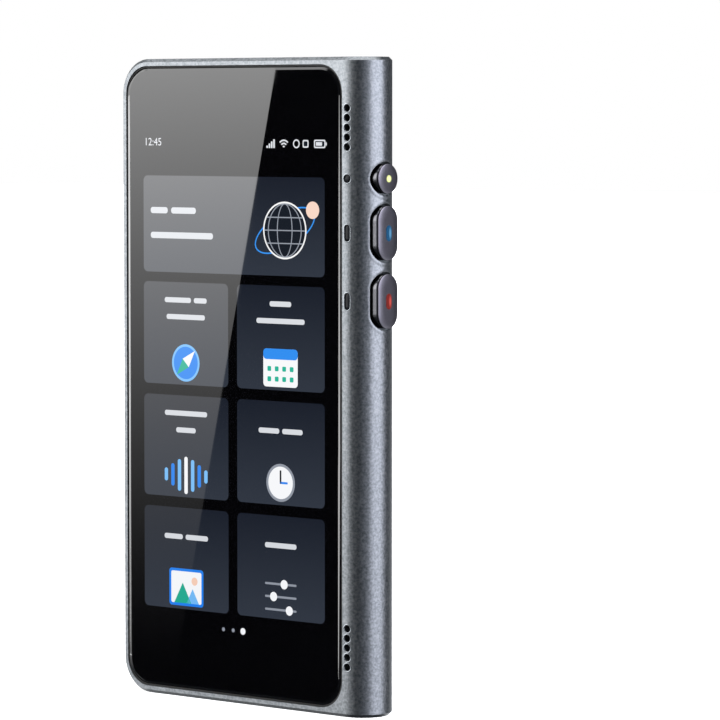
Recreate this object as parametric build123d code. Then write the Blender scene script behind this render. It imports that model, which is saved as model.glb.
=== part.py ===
from build123d import *
import os

# Handheld translator: a flat touch-screen slab whose right side is a full-round metal spine.
# Millimetres. +Z runs up the slab, the screen faces -Y, and the spine with its keys is at +X.
# Lengths are worked out with the slab's middle at x = 0 and y = 0 and its bottom end at z = 0,
# and every piece is moved by TO_ORIGIN as it is written.

# ---------------------------------------------------------------- driving dimensions
BODY_W = 59.9           # left edge to the spine's apex
BODY_H = 118.0
BODY_T = 10.4
CORNER_R = 6.5          # the slab's two left corners
EDGE = 0.6              # chamfer round the outer edges

RIM = 1.3               # metal rim beside the glass and the back panel
STRIP = 0.5             # flat metal between the glass pocket and the spine's curve
WALL = 2.5              # outer face to the display's cavity
REAR_WALL = 3.5         # outer face to the battery's cavity
SEAT = 0.8              # width of the mid frame's seat at the spine side

GLASS_T = 1.1
GLASS_BEVEL = 0.55      # bevel's width on the glass face
GLASS_BEVEL_D = 0.3     # and its depth
GASKET_W = 0.4
GASKET_LOW = 0.15       # gasket's face below the rim
ADHESIVE_T = 0.2
ADHESIVE_W = 1.0

PANEL_T = 0.9
PANEL_GAP = 0.2         # dark groove round the back panel
PANEL_REACH = 0.9       # how far the panel runs onto the spine's curve

DISPLAY_T = 1.6
DISPLAY_SIDE = 2.6      # glass edge to display edge, left and right
DISPLAY_TOP = 6.6
DISPLAY_BOTTOM = 5.2
DISPLAY_GAP = 0.1       # display to mid frame
MID_T = 0.7
MID_FIT = 0.1

FRONT_FLANGE = 1.2      # front rim's depth on the slab's side
BACK_FLANGE = 1.3
BAND_D = 1.0            # depth of the black side band
BAND_LOW = 0.05         # band's face below the rims
BAND_FIT = 0.02
BAND_SEAM = 0.12
TOP_SEAM = 7.3          # seams on the left side, from the top and the bottom end
BOTTOM_SEAM = 6.5
BAND_STOP = 2.0         # the band's end, short of the spine's curve

KEY_W = 5.3
KEY_PROUD = 0.8         # face beyond the spine's apex
KEY_GAP = 0.45          # recess round each key
KEY_TRAVEL = 0.3
KEY_SPARE = 0.1         # room left under a pressed key
KEY_LONG = 9.75         # blue and red keys
CROWN_T = 0.25
CROWN_ROUND = 0.15
GROOVE_W = 0.35
GROOVE_D = 0.3
SKIRT_T = 1.8
SKIRT_WALL = 0.8
SKIRT_EDGE = 0.12
LIGHT_W = 1.5
LIGHT_LONG = 2.8
DOT_D = 1.3
LIGHT_T = 0.6
LIGHT_PROUD = 0.03
KEY_FLOOR = 0.8         # metal under each key's recess
STEM_R = 1.1
STEM_FIT = 0.08
NECK_R = 0.8
CLIP_T = 0.4
CLIP_R = 1.9
CLIP_FIT = 0.02
CLIP_GAP = 0.05
BLUE_DOWN = 31.33       # middle key's centre, down from the top end
POWER_BLUE_GAP = 2.15   # from one key to the next
BLUE_RED_GAP = 2.4

BAY_HALF = 3.3          # half the depth of the spine's inner bays
BAY_END = 0.9           # bay past the outermost key
BAY_WEB = 0.5           # metal between the keys' bay and the top speaker's
KEY_BOARD_T = 0.6
KEY_BOARD_HALF = 2.4
SWITCH_T = 1.3
SWITCH_W = 3.5
SWITCH_FLOOR = 0.2
PLUNGER_R = 0.8
PLUNGER_FIT = 0.08
PLUNGER_IN = 0.6        # plunger's length inside the switch

HOLES_X = 0.6           # strip holes, from the spine's axis
SOUND_R = 0.62
SOUND_LIP = 0.1
SOUND_PITCH = 1.73
SOUND_COUNT = 5
BOTTOM_HOLES_UP = 12.5  # middle sound hole from the bottom end
SPEAKER_OVER = 0.75     # speaker longer than its row of holes
SPEAKER_SPARE = 0.3
MESH_T = 0.2
LENS_W = 1.2
LENS_LONG = 3.0
ROUND_LENS_R = 0.75
LENS_LOW = 0.15
LENS_FIT = 0.03
LED_BOARD_T = 0.5

ROCKER_L = 16.9
ROCKER_W = 2.2
ROCKER_T = 1.2
ROCKER_PROUD = 0.25
ROCKER_GAP = 0.15
ROCKER_ROOM = 0.5       # behind the rocker, for its tilt
ROCKER_DOWN = 21.6
NOTCH_W = 0.6
NOTCH_D = 0.2
LUG_T = 1.2
LUG_L = 3.0
LUG_W = 1.6
PIN_R = 0.4
PIN_FIT = 0.05
PIN_SEAT_FIT = 0.02
PIN_L = 4.0
PIN_BACK = 0.7          # pin behind the rocker's inner face
ACTUATOR_R = 0.55
ACTUATOR_AT = 6.0
VOLUME_SWITCH_GAP = 0.25
VOLUME_PLUNGER_T = 0.2
VOLUME_SWITCH_T = 0.9
VOLUME_SWITCH_L = 2.4
VOLUME_SWITCH_W = 1.2
VOLUME_BOARD_T = 0.4
VOLUME_BOARD_IN = 0.4   # rear cavity's wall to the volume board

TRAY_W = 2.3
TRAY_GAP = 0.12
TRAY_HEAD = 1.0
TRAY_BELOW_ROCKER = 3.2
TRAY_LIP = 0.45         # head longer than the blade, at each end
TRAY_TIP = 4.1          # blade past the card
CARD_RAIL = 0.45        # blade wider than the card, at each side
CARD_LOW = 0.03         # card's face below the blade's
TRAY_FLOOR = 0.3
TRAY_BACK = 0.1         # blade's middle, from the head's middle
BLADE_GAP = 0.12
PINHOLE_R = 0.45
PINHOLE_IN = 1.1
CARD_L = 12.3
CARD_W = 8.8
CARD_T = 0.67
CARD_IN = 3.6           # tray head to the card
CARD_FIT = 0.1
SOCKET_WALL = 0.16
SOCKET_SIDE = 0.64      # cage's wall beside the blade
SOCKET_SPARE = 0.6
SOCKET_RISE = 0.02      # mid frame to cage

RING_R = 4.8
RING_PROUD = 0.5
RING_WALL = 0.75
RING_EDGE = 0.2
SLEEVE_WALL = 0.25
SLEEVE_FIT = 0.05
CAMERA_GLASS_T = 0.6
CAMERA_GLASS_LOW = 0.1
CAMERA_DOWN = 11.0
MODULE_W = 8.6
BARREL_R = 3.4
FLASH_R = 1.9
FLASH_PROUD = 0.1
FLASH_FIT = 0.05
RING_FLASH_GAP = 1.3
FLASH_LED_W = 2.6
FLASH_LED_T = 0.8

BOARD_T = 0.8
BOARD_RISE = 1.7        # mid frame to main board
BOARD_BELOW_TRAY = 5.65
BOARD_TAB_GAP = 0.1
BOARD_GAP = 0.6         # board edge to its neighbours
CAMERA_CUT = 0.6
STANDOFF_R = 1.6
STANDOFF_IN = 2.8       # board edge to standoff
SCREW_R = 0.5
HEAD_R = 0.95
HEAD_T = 0.4
SCREW_FIT = 0.05
THREAD_FIT = 0.02
THREAD_END = 0.2        # blind hole short of the tab's or frame's far face
CAN_T = 1.4
CAN_WALL = 0.2
CAN_SCREW_GAP = 1.05
CAN_LED_GAP = 2.6

BATTERY_ABOVE = 4.0     # bottom board to battery
BATTERY_BELOW = 3.0     # battery to main board
BATTERY_SIDE = 0.95     # battery to screw tabs
BATTERY_CLEAR = 0.9     # battery to back panel
BATTERY_ROUND = 0.8
STRIP_T = 0.15
STRIP_W = 8.8

TAB_L = 3.4
TAB_H = 4.4

USB_W = 8.94
USB_H = 3.26
USB_WALL = 0.3
USB_L = 7.4
USB_LOW = 0.5           # shell's mouth above the bottom end
USB_GAP = 0.17
USB_RISE = 0.4          # mid frame to shell
USB_BOARD_GAP = 0.05
TONGUE_W = 6.69
TONGUE_T = 0.7
TONGUE_L = 4.45
LOW_BOARD_IN = 5.25     # rear cavity's spine side to bottom board
LOW_BOARD_UP = 4.6
LOW_BOARD_H = 12.4
MIC_L = 3.4
MIC_W = 2.6
MIC_T = 1.0
MIC_HOLE_R = 0.5
MIC_X = 10.0
MOTOR_R = 4.0
MOTOR_T = 2.3
MOTOR_UP = 11.0
MOTOR_IN = 1.6          # cavity wall to motor
MOTOR_GAP = 0.35        # motor to standoff
LINK_W = 2.4
LINK_T = 0.15
LINK_END = 3.0
LINK_PLUG_T = 0.7
LINK_IN = 0.75          # cavity wall to cable
LINK_GAP = 0.1          # cable to screw heads and tabs

# ---------------------------------------------------------------- values worked out from them
SPINE_R = BODY_T / 2
LEFT = -BODY_W / 2
APEX = BODY_W / 2
AXIS_X = APEX - SPINE_R
FRONT = -BODY_T / 2
BACK = BODY_T / 2
TO_ORIGIN = ((ROCKER_PROUD - KEY_PROUD - LIGHT_PROUD) / 2, -RING_PROUD / 2, 0)

STRIP_X = AXIS_X - STRIP
POCKET_R = CORNER_R - RIM
GLASS_BACK = FRONT + GLASS_T
POCKET_Y = GLASS_BACK + ADHESIVE_T
DISPLAY_BACK = GLASS_BACK + DISPLAY_T
MID_FRONT = DISPLAY_BACK + DISPLAY_GAP
MID_BACK = MID_FRONT + MID_T
PANEL_Y = BACK - PANEL_T
CAVITY_R = CORNER_R - WALL
CAVITY_X = STRIP_X - ADHESIVE_W - GASKET_W / 2
REAR_X = CAVITY_X - SEAT
BAND_FRONT = FRONT + FRONT_FLANGE
BAND_BACK = BACK - BACK_FLANGE
BAND_X = AXIS_X - BAND_STOP
OUT = BODY_T            # how far a cutter runs past an outer face
THROUGH = 1.0           # how far one runs past an inner face

KEY_BASE = APEX + KEY_PROUD - CROWN_T - GROOVE_W - SKIRT_T
RECESS_X = KEY_BASE - KEY_TRAVEL - KEY_SPARE
BAY_X = RECESS_X - KEY_FLOOR
CLIP_X = BAY_X - CLIP_GAP
STEM_END = CLIP_X - CLIP_T - CLIP_GAP * 2
SWITCH_X = STEM_END - KEY_TRAVEL - KEY_SPARE * 2
KEY_BOARD_X = SWITCH_X - SWITCH_T
POWER_DOWN = BLUE_DOWN - KEY_LONG / 2 - POWER_BLUE_GAP - KEY_W / 2
RED_DOWN = BLUE_DOWN + KEY_LONG + BLUE_RED_GAP
KEYS = {
    "power": (BODY_H - POWER_DOWN, KEY_W),
    "blue": (BODY_H - BLUE_DOWN, KEY_LONG),
    "red": (BODY_H - RED_DOWN, KEY_LONG),
}
KEY_BAY = (KEYS["red"][0] - KEY_LONG / 2 - BAY_END, KEYS["power"][0] + KEY_W / 2 + BAY_END)
SPEAKER_L = SOUND_PITCH * SOUND_COUNT + SPEAKER_OVER
TOP_HOLES_DOWN = POWER_DOWN - KEY_W / 2 - BAY_END - BAY_WEB - SPEAKER_SPARE - SPEAKER_L / 2
STRIP_HOLE_X = AXIS_X + HOLES_X
STRIP_HOLE_Y = -(SPINE_R ** 2 - HOLES_X ** 2) ** 0.5
SPEAKERS = {"top": BODY_H - TOP_HOLES_DOWN, "bottom": BOTTOM_HOLES_UP}

ROCKER_Z = BODY_H - ROCKER_DOWN
ROCKER_IN = LEFT + ROCKER_T
PIN_X = ROCKER_IN + PIN_BACK
VOLUME_BOARD_X = LEFT + REAR_WALL + VOLUME_BOARD_IN
VOLUME_SWITCH_X = VOLUME_BOARD_X - VOLUME_SWITCH_T
VOLUME_PLUNGER_X = VOLUME_SWITCH_X - VOLUME_PLUNGER_T
ACTUATOR_X = VOLUME_PLUNGER_X - VOLUME_SWITCH_GAP

TRAY_BLADE = CARD_IN + CARD_W + TRAY_TIP
TRAY_BLADE_T = TRAY_FLOOR + CARD_T + CARD_LOW
TRAY_BLADE_W = CARD_L + 2 * CARD_RAIL
TRAY_L = TRAY_BLADE_W + 2 * TRAY_LIP
TRAY_Z = ROCKER_Z - ROCKER_L / 2 - TRAY_BELOW_ROCKER - TRAY_L / 2
TRAY_FACE = LEFT + BAND_LOW
BLADE_X = TRAY_FACE + TRAY_HEAD
BLADE_Y = MID_BACK + SOCKET_RISE + SOCKET_WALL + BLADE_GAP + TRAY_BLADE_T / 2
SIDE_KEYS_Y = BLADE_Y - TRAY_BACK       # rocker and tray head, across the slab

LINK_X = (LEFT + REAR_WALL + LINK_IN, LEFT + REAR_WALL + LINK_IN + LINK_W)
BOARD_Y = MID_BACK + BOARD_RISE
BOARD_BACK = BOARD_Y + BOARD_T
TAB_T = BOARD_BACK - LINK_GAP - MID_BACK
BOARD_X = (VOLUME_BOARD_X + VOLUME_BOARD_T + BOARD_GAP, REAR_X - BOARD_GAP)
BOARD_Z = (TRAY_Z - TRAY_L / 2 - BOARD_BELOW_TRAY,
           BODY_H - REAR_WALL - TAB_L / 2 - TAB_H / 2 - BOARD_TAB_GAP)
STANDOFF_X = (LINK_X[1] + LINK_GAP + HEAD_R, BOARD_X[1] - STANDOFF_IN)

SLEEVE_R = RING_R - RING_WALL + SLEEVE_WALL
CAMERA_Z = BODY_H - CAMERA_DOWN
FLASH_Z = CAMERA_Z - RING_R - RING_FLASH_GAP - FLASH_R

USB_Y = MID_BACK + USB_RISE + USB_H / 2
LOW_BOARD_Y = USB_Y + USB_H / 2 + USB_BOARD_GAP
LOW_BOARD_X = (LINK_X[0], REAR_X - LOW_BOARD_IN)
LOW_BOARD_Z = (LOW_BOARD_UP, LOW_BOARD_UP + LOW_BOARD_H)
MOTOR_X = LEFT + REAR_WALL + MOTOR_IN + MOTOR_R
LOW_STANDOFF_X = (MOTOR_X + MOTOR_R + MOTOR_GAP + STANDOFF_R, LOW_BOARD_X[1] - STANDOFF_R - SCREW_R)

BATTERY_X = (LEFT + REAR_WALL + TAB_L + BATTERY_SIDE, REAR_X - TAB_L - BATTERY_SIDE)
BATTERY_Z = (LOW_BOARD_Z[1] + BATTERY_ABOVE, BOARD_Z[0] - BATTERY_BELOW)


# ---------------------------------------------------------------- small helpers
def block(x0, x1, y0, y1, z0, z1):
    """Box between two corners."""
    middle = Pos((x0 + x1) / 2, (y0 + y1) / 2, (z0 + z1) / 2)
    return middle * Box(x1 - x0, y1 - y0, z1 - z0)


def outline(x0, x1, z0, z1, left_r, right_r):
    """Rectangle in X and Z with round left and right corners."""
    face = Pos((x0 + x1) / 2, (z0 + z1) / 2) * Rectangle(x1 - x0, z1 - z0)
    face = fillet(face.vertices().group_by(Axis.X)[0], left_r)
    return fillet(face.vertices().group_by(Axis.X)[-1], right_r)


def slab(face, y0, y1):
    """An X-Z outline made solid between two Y planes."""
    return extrude(Plane((0, y1, 0), x_dir=(1, 0, 0), z_dir=(0, -1, 0)) * face, y1 - y0)


def along_x(face, x0, x1):
    """A Y-Z outline made solid between two X planes."""
    return extrude(Plane((x0, 0, 0), x_dir=(0, 1, 0), z_dir=(1, 0, 0)) * face, x1 - x0)


def along_z(face, z0, z1):
    """An X-Y outline made solid between two Z planes."""
    return extrude(Pos(0, 0, z0) * face, z1 - z0)


def pill(width, length):
    """Round-ended slot, upright in its sketch, or a circle where both sizes are the same."""
    if length <= width:
        return Circle(width / 2)
    return SlotOverall(length, width, rotation=90)


def rod_y(radius, x, z, y0, y1):
    """Round bar along Y."""
    return slab(Pos(x, z) * Circle(radius), y0, y1)


def rod_x(radius, y, z, x0, x1):
    """Round bar along X."""
    return along_x(Pos(y, z) * Circle(radius), x0, x1)


def all_of(shapes):
    """One compound of separate solids that share a node."""
    return Compound([solid for shape in shapes for solid in shape.solids()])


# ---------------------------------------------------------------- the slab's outer form
def body_form():
    """Whole outer form: D-shaped section, round left corners, chamfer along every outer edge."""
    section = Pos((LEFT + AXIS_X) / 2, 0) * Rectangle(AXIS_X - LEFT, BODY_T)
    section += Pos(AXIS_X, 0) * Circle(SPINE_R)
    form = along_z(section, 0, BODY_H)
    corners = form.edges().filter_by(Axis.Y).group_by(Axis.X)[0]
    form = fillet(corners, CORNER_R)
    across = form.edges().filter_by(Axis.Y)
    seams = form.edges().filter_by(Axis.Z).group_by(Axis.X)[-1]
    rims = [edge for edge in form.edges() if edge not in across and edge not in seams]
    return chamfer(rims, EDGE)


def panel_face(gap):
    """Back panel's outline, or its pocket's where the gap is 0."""
    return outline(LEFT + RIM + gap, AXIS_X + PANEL_REACH - gap, RIM + gap, BODY_H - RIM - gap,
                   POCKET_R - gap, POCKET_R - gap)


def glass_face(gap):
    """Glass pocket's outline, drawn in by a gap."""
    return outline(LEFT + RIM + gap, STRIP_X - gap, RIM + gap, BODY_H - RIM - gap,
                   POCKET_R - gap, POCKET_R - gap)


def cavity_face(wall, right, gap=0.0):
    """Inner cavity's outline behind a wall of one thickness."""
    return outline(LEFT + wall + gap, right - gap, wall + gap, BODY_H - wall - gap,
                   CAVITY_R - gap, CAVITY_R - gap)


def band_ring(low, fit):
    """The C-shaped strip round the slab's top, left side and bottom, from low to the band's depth."""
    outer = outline(LEFT + low, AXIS_X + OUT, low, BODY_H - low, CORNER_R - low, CORNER_R - low)
    depth = BAND_D - fit
    inner = outline(LEFT + depth, AXIS_X + OUT * 2, depth, BODY_H - depth, CORNER_R - depth, CORNER_R)
    ring = slab(outer, BAND_FRONT + fit, BAND_BACK - fit)
    ring -= slab(inner, BAND_FRONT - OUT, BAND_BACK + OUT)
    return ring & block(LEFT - OUT, BAND_X - fit, -OUT, OUT, -OUT, BODY_H + OUT)


# ---------------------------------------------------------------- openings through the walls
def key_recesses():
    """Pocket, stem hole and bay for the three keys."""
    cuts = [block(REAR_X, BAY_X, -BAY_HALF, BAY_HALF, *KEY_BAY)]
    for z, length in KEYS.values():
        face = Pos(0, z) * pill(KEY_W + 2 * KEY_GAP, length + 2 * KEY_GAP)
        cuts.append(along_x(face, RECESS_X, APEX + OUT))
        cuts.append(rod_x(STEM_R + STEM_FIT, 0, z, BAY_X - THROUGH, RECESS_X + THROUGH))
    return cuts


def speaker_bay(middle):
    """Chamber in the spine behind one group of sound holes."""
    half = SPEAKER_L / 2 + SPEAKER_SPARE
    return block(REAR_X, BAY_X, -BAY_HALF, BAY_HALF, middle - half, middle + half)


def sound_hole_heights(middle):
    """Heights of one group of sound holes."""
    first = middle - SOUND_PITCH * (SOUND_COUNT - 1) / 2
    return [first + SOUND_PITCH * step for step in range(SOUND_COUNT)]


def strip_holes():
    """Sound holes with a countersunk lip, and the three lens holes."""
    cuts = []
    for middle in SPEAKERS.values():
        for z in sound_hole_heights(middle):
            cuts.append(rod_y(SOUND_R, STRIP_HOLE_X, z, FRONT - THROUGH, -BAY_HALF + THROUGH))
            lip = Cone(SOUND_R + 2 * SOUND_LIP, SOUND_R, 2 * SOUND_LIP)
            cuts.append(Pos(STRIP_HOLE_X, STRIP_HOLE_Y, z) * Rot(-90, 0, 0) * lip)
    for face in lens_faces(LENS_FIT).values():
        cuts.append(slab(face, FRONT - THROUGH, -BAY_HALF + THROUGH))
    return cuts


def lens_faces(fit):
    """Outlines of the smoked lenses, each level with its key."""
    faces = {"round": Pos(STRIP_HOLE_X, KEYS["power"][0]) * Circle(ROUND_LENS_R + fit)}
    for name, key in (("upper", "blue"), ("lower", "red")):
        slot = pill(LENS_W + 2 * fit, LENS_LONG + 2 * fit)
        faces[name] = Pos(STRIP_HOLE_X, KEYS[key][0]) * slot
    return faces


def rocker_cut():
    """Slot for the volume rocker, the window behind it, and its pin's hole."""
    face = Pos(SIDE_KEYS_Y, ROCKER_Z) * pill(ROCKER_W + 2 * ROCKER_GAP, ROCKER_L + 2 * ROCKER_GAP)
    half_y = ROCKER_W / 2 - ROCKER_GAP
    half_z = ACTUATOR_AT + VOLUME_SWITCH_L / 2
    window = block(ROCKER_IN, VOLUME_BOARD_X, SIDE_KEYS_Y - half_y, SIDE_KEYS_Y + half_y,
                   ROCKER_Z - half_z, ROCKER_Z + half_z)
    pin = rod_y(PIN_R + PIN_SEAT_FIT, PIN_X, ROCKER_Z,
                SIDE_KEYS_Y - PIN_L / 2 - PIN_FIT, SIDE_KEYS_Y + PIN_L / 2 + PIN_FIT)
    return [along_x(face, LEFT - OUT, ROCKER_IN + ROCKER_ROOM), window, pin]


def tray_cut():
    """Slot for the SIM tray's head and the narrower one for its blade."""
    face = Pos(SIDE_KEYS_Y, TRAY_Z) * pill(TRAY_W + 2 * TRAY_GAP, TRAY_L + 2 * TRAY_GAP)
    half_y = TRAY_BLADE_T / 2 + BLADE_GAP
    half_z = TRAY_BLADE_W / 2 + BLADE_GAP
    blade = block(LEFT, LEFT + REAR_WALL + THROUGH, BLADE_Y - half_y, BLADE_Y + half_y,
                  TRAY_Z - half_z, TRAY_Z + half_z)
    return [along_x(face, LEFT - OUT, BLADE_X + BAND_LOW), blade]


def end_cuts():
    """USB mouth and the two microphone holes."""
    mouth = Pos(0, USB_Y) * SlotOverall(USB_W + 2 * USB_GAP, USB_H + 2 * USB_GAP)
    low_mic = Pos(MIC_X, LOW_BOARD_Y - MIC_T / 2) * Circle(MIC_HOLE_R)
    top_mic = Pos(MIC_X, BOARD_BACK + MIC_T / 2) * Circle(MIC_HOLE_R)
    inner = REAR_WALL + THROUGH
    return [along_z(mouth, -OUT, inner), along_z(low_mic, -OUT, inner),
            along_z(top_mic, BODY_H - inner, BODY_H + OUT)]


# ---------------------------------------------------------------- housing, band and panel
def tab_places():
    """Middle of each screw tab: x, z, and the side it grows from."""
    low, high = BATTERY_Z[0] + TAB_H / 2, BATTERY_Z[1] - TAB_H / 2
    left, right = LEFT + REAR_WALL, REAR_X
    places = [(left + TAB_L / 2, z) for z in (low, high)]
    places += [(right - TAB_L / 2, z) for z in (low, high)]
    top = BODY_H - REAR_WALL - TAB_L / 2
    return places + [(side * (MODULE_W + TAB_H), top) for side in (-1, 1)]


def housing_shell():
    """One machined piece: rims, strip, spine and the webs behind the band."""
    shell = body_form()
    shell -= slab(glass_face(0), FRONT - OUT, POCKET_Y)
    shell -= slab(panel_face(0), PANEL_Y, BACK + OUT)
    shell -= slab(cavity_face(WALL, CAVITY_X), POCKET_Y - THROUGH, MID_BACK)
    rear = slab(cavity_face(REAR_WALL, REAR_X), MID_BACK - THROUGH, PANEL_Y + THROUGH)
    half = TAB_L / 2 + THROUGH
    for x, z in tab_places():
        rear -= block(x - half, x + half, MID_BACK, MID_BACK + TAB_T,
                      z - TAB_H / 2, z + TAB_H / 2) & tab_reach()
    shell -= rear
    shell -= band_ring(-THROUGH, 0)
    for cut in key_recesses() + strip_holes() + rocker_cut() + tray_cut() + end_cuts():
        shell -= cut
    for middle in SPEAKERS.values():
        shell -= speaker_bay(middle)
    for x, z in tab_places():
        shell -= rod_y(SCREW_R + THREAD_FIT, x, z, MID_BACK - THROUGH, MID_BACK + TAB_T - THREAD_END)
    return shell


def tab_reach():
    """The margin of the rear cavity in which the screw tabs stand."""
    outer = slab(cavity_face(REAR_WALL, REAR_X), MID_BACK - THROUGH, PANEL_Y + THROUGH)
    return outer - slab(cavity_face(REAR_WALL + TAB_L, REAR_X - TAB_L), MID_BACK - OUT, PANEL_Y + OUT)


def side_bands():
    """Black band in its channel, in three lengths that meet at two seams."""
    ring = band_ring(BAND_LOW, BAND_FIT)
    for cut in rocker_cut() + tray_cut() + end_cuts():
        ring -= cut
    low, high = BOTTOM_SEAM, BODY_H - TOP_SEAM
    spans = {"bottom_band": (-OUT, low), "side_band": (low + BAND_SEAM, high),
             "top_band": (high + BAND_SEAM, BODY_H + OUT)}
    return {name: ring & block(LEFT - OUT, APEX, -OUT, OUT, z0, z1)
            for name, (z0, z1) in spans.items()}


def back_panel():
    """Panel flush with the back, its spine side following the spine's curve."""
    panel = body_form() & slab(panel_face(PANEL_GAP), PANEL_Y, BACK)
    for radius, z in ((SLEEVE_R + SLEEVE_FIT, CAMERA_Z), (FLASH_R + FLASH_FIT, FLASH_Z)):
        panel -= rod_y(radius, 0, z, PANEL_Y - THROUGH, BACK + THROUGH)
    return panel


# ---------------------------------------------------------------- front stack
def cover_glass():
    """Glass with a shallow bevel round its face."""
    glass = slab(glass_face(GASKET_W), FRONT, GLASS_BACK)
    face = glass.faces().sort_by(Axis.Y)[0]
    return chamfer(face.edges(), GLASS_BEVEL, GLASS_BEVEL_D, reference=face)


def glass_gasket():
    """Dark ring between the glass and the rim."""
    ring = slab(glass_face(BAND_FIT), FRONT + GASKET_LOW, POCKET_Y)
    return ring - slab(glass_face(GASKET_W - BAND_FIT), FRONT - THROUGH, POCKET_Y + THROUGH)


def glass_adhesive():
    """Tape between the glass and its ledge."""
    ring = slab(glass_face(GASKET_W), GLASS_BACK, POCKET_Y)
    inner = glass_face(GASKET_W + ADHESIVE_W / 2)
    return ring - slab(inner, GLASS_BACK - THROUGH, POCKET_Y + THROUGH)


def display_panel():
    """Display bonded to the back of the glass."""
    left = LEFT + RIM + GASKET_W + DISPLAY_SIDE
    right = STRIP_X - GASKET_W - DISPLAY_SIDE
    return block(left, right, GLASS_BACK, DISPLAY_BACK,
                 RIM + GASKET_W + DISPLAY_BOTTOM, BODY_H - RIM - GASKET_W - DISPLAY_TOP)


def board_standoffs():
    """Middle of each standoff under the main board."""
    return [(x, z) for x in STANDOFF_X
            for z in (BOARD_Z[0] + STANDOFF_IN, BOARD_Z[1] - STANDOFF_IN)]


def low_standoffs():
    """Middle of each standoff under the bottom board."""
    return [(x, LOW_BOARD_Z[1] - STANDOFF_R) for x in LOW_STANDOFF_X]


def mid_frame():
    """Stiff plate behind the display, with standoffs for the boards."""
    plate = slab(cavity_face(WALL, CAVITY_X, MID_FIT), MID_FRONT, MID_BACK)
    for places, top in ((board_standoffs(), BOARD_Y), (low_standoffs(), LOW_BOARD_Y)):
        for x, z in places:
            plate += rod_y(STANDOFF_R, x, z, MID_FRONT, top)
            plate -= rod_y(SCREW_R + THREAD_FIT, x, z, MID_BACK, top + THROUGH)
    for x, z in tab_places():
        plate -= rod_y(SCREW_R + SCREW_FIT, x, z, MID_FRONT - THROUGH, MID_BACK + THROUGH)
        plate -= rod_y(HEAD_R + SCREW_FIT, x, z, MID_FRONT - THROUGH, MID_FRONT + HEAD_T)
    return plate


def screw(x, z, seat, tip):
    """Pan-head screw along Y, its head on the seat and its shaft running to the tip."""
    forward = 1 if tip > seat else -1
    head = sorted((seat, seat - forward * HEAD_T))
    shaft = sorted((seat, tip))
    return rod_y(HEAD_R, x, z, *head) + rod_y(SCREW_R, x, z, *shaft)


def frame_screws():
    """Screws through the mid frame into the housing's tabs."""
    seat = MID_FRONT + HEAD_T
    return all_of([screw(x, z, seat, MID_BACK + TAB_T - 2 * THREAD_END) for x, z in tab_places()])


def board_screws():
    """Screws through both boards into the mid frame's standoffs."""
    tip = MID_BACK + THREAD_END
    upper = [screw(x, z, BOARD_BACK, tip) for x, z in board_standoffs()]
    lower = [screw(x, z, LOW_BOARD_Y + BOARD_T, tip) for x, z in low_standoffs()]
    return all_of(upper + lower)


# ---------------------------------------------------------------- boards and battery
def main_board():
    """Upper circuit board, cut out round the camera module."""
    board = block(BOARD_X[0], BOARD_X[1], BOARD_Y, BOARD_BACK, *BOARD_Z)
    half = MODULE_W / 2 + CAMERA_CUT
    low, high = BOARD_Y - THROUGH, BOARD_BACK + THROUGH
    board -= block(-half, half, low, high, CAMERA_Z - half, BODY_H)
    for x, z in board_standoffs():
        board -= rod_y(SCREW_R + SCREW_FIT, x, z, low, high)
    return board


def shield_cans():
    """Two thin steel cans on the main board's back."""
    low = BOARD_Z[0] + STANDOFF_IN + HEAD_R + CAN_SCREW_GAP
    high = FLASH_Z - FLASH_LED_W / 2 - CAN_LED_GAP
    spans = ((BOARD_X[0] + STANDOFF_R, -FLASH_LED_W), (0, BOARD_X[1] - STANDOFF_R))
    cans = []
    for x0, x1 in spans:
        can = block(x0, x1, BOARD_BACK, BOARD_BACK + CAN_T, low, high)
        can -= block(x0 + CAN_WALL, x1 - CAN_WALL, BOARD_BACK - THROUGH,
                     BOARD_BACK + CAN_T - CAN_WALL, low + CAN_WALL, high - CAN_WALL)
        cans.append(can)
    return all_of(cans)


def battery():
    """Lithium pouch cell with soft edges."""
    cell = block(*BATTERY_X, MID_BACK + STRIP_T, PANEL_Y - BATTERY_CLEAR, *BATTERY_Z)
    return fillet(cell.edges().filter_by(Axis.Z), BATTERY_ROUND)


def battery_adhesive():
    """Two stretch-release strips under the battery."""
    quarter = (BATTERY_X[1] - BATTERY_X[0]) / 4
    low, high = BATTERY_Z[0] + TAB_H, BATTERY_Z[1] - TAB_H
    return all_of([block(middle - STRIP_W / 2, middle + STRIP_W / 2, MID_BACK, MID_BACK + STRIP_T,
                         low, high) for middle in (BATTERY_X[0] + quarter, BATTERY_X[1] - quarter)])


def bottom_board():
    """Board behind the USB shell."""
    face = outline(*LOW_BOARD_X, *LOW_BOARD_Z, CAVITY_R / 2, CAVITY_R / 4)
    board = slab(face, LOW_BOARD_Y, LOW_BOARD_Y + BOARD_T)
    for x, z in low_standoffs():
        board -= rod_y(SCREW_R + SCREW_FIT, x, z, LOW_BOARD_Y - THROUGH, LOW_BOARD_Y + BOARD_T + THROUGH)
    return board


def board_link():
    """Flat cable beside the battery, with a connector at each end."""
    y0 = BOARD_BACK
    low, high = LOW_BOARD_Z[1] - LINK_END, BOARD_Z[0] + LINK_END
    cable = block(LINK_X[0], LINK_X[1], y0, y0 + LINK_T, low, high)
    cable += block(LINK_X[0], LINK_X[1], y0 + LINK_T, LOW_BOARD_Y, low, low + LINK_END)
    return cable + block(LINK_X[0], LINK_X[1], y0 + LINK_T, y0 + LINK_PLUG_T, high - LINK_END, high)


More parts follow.
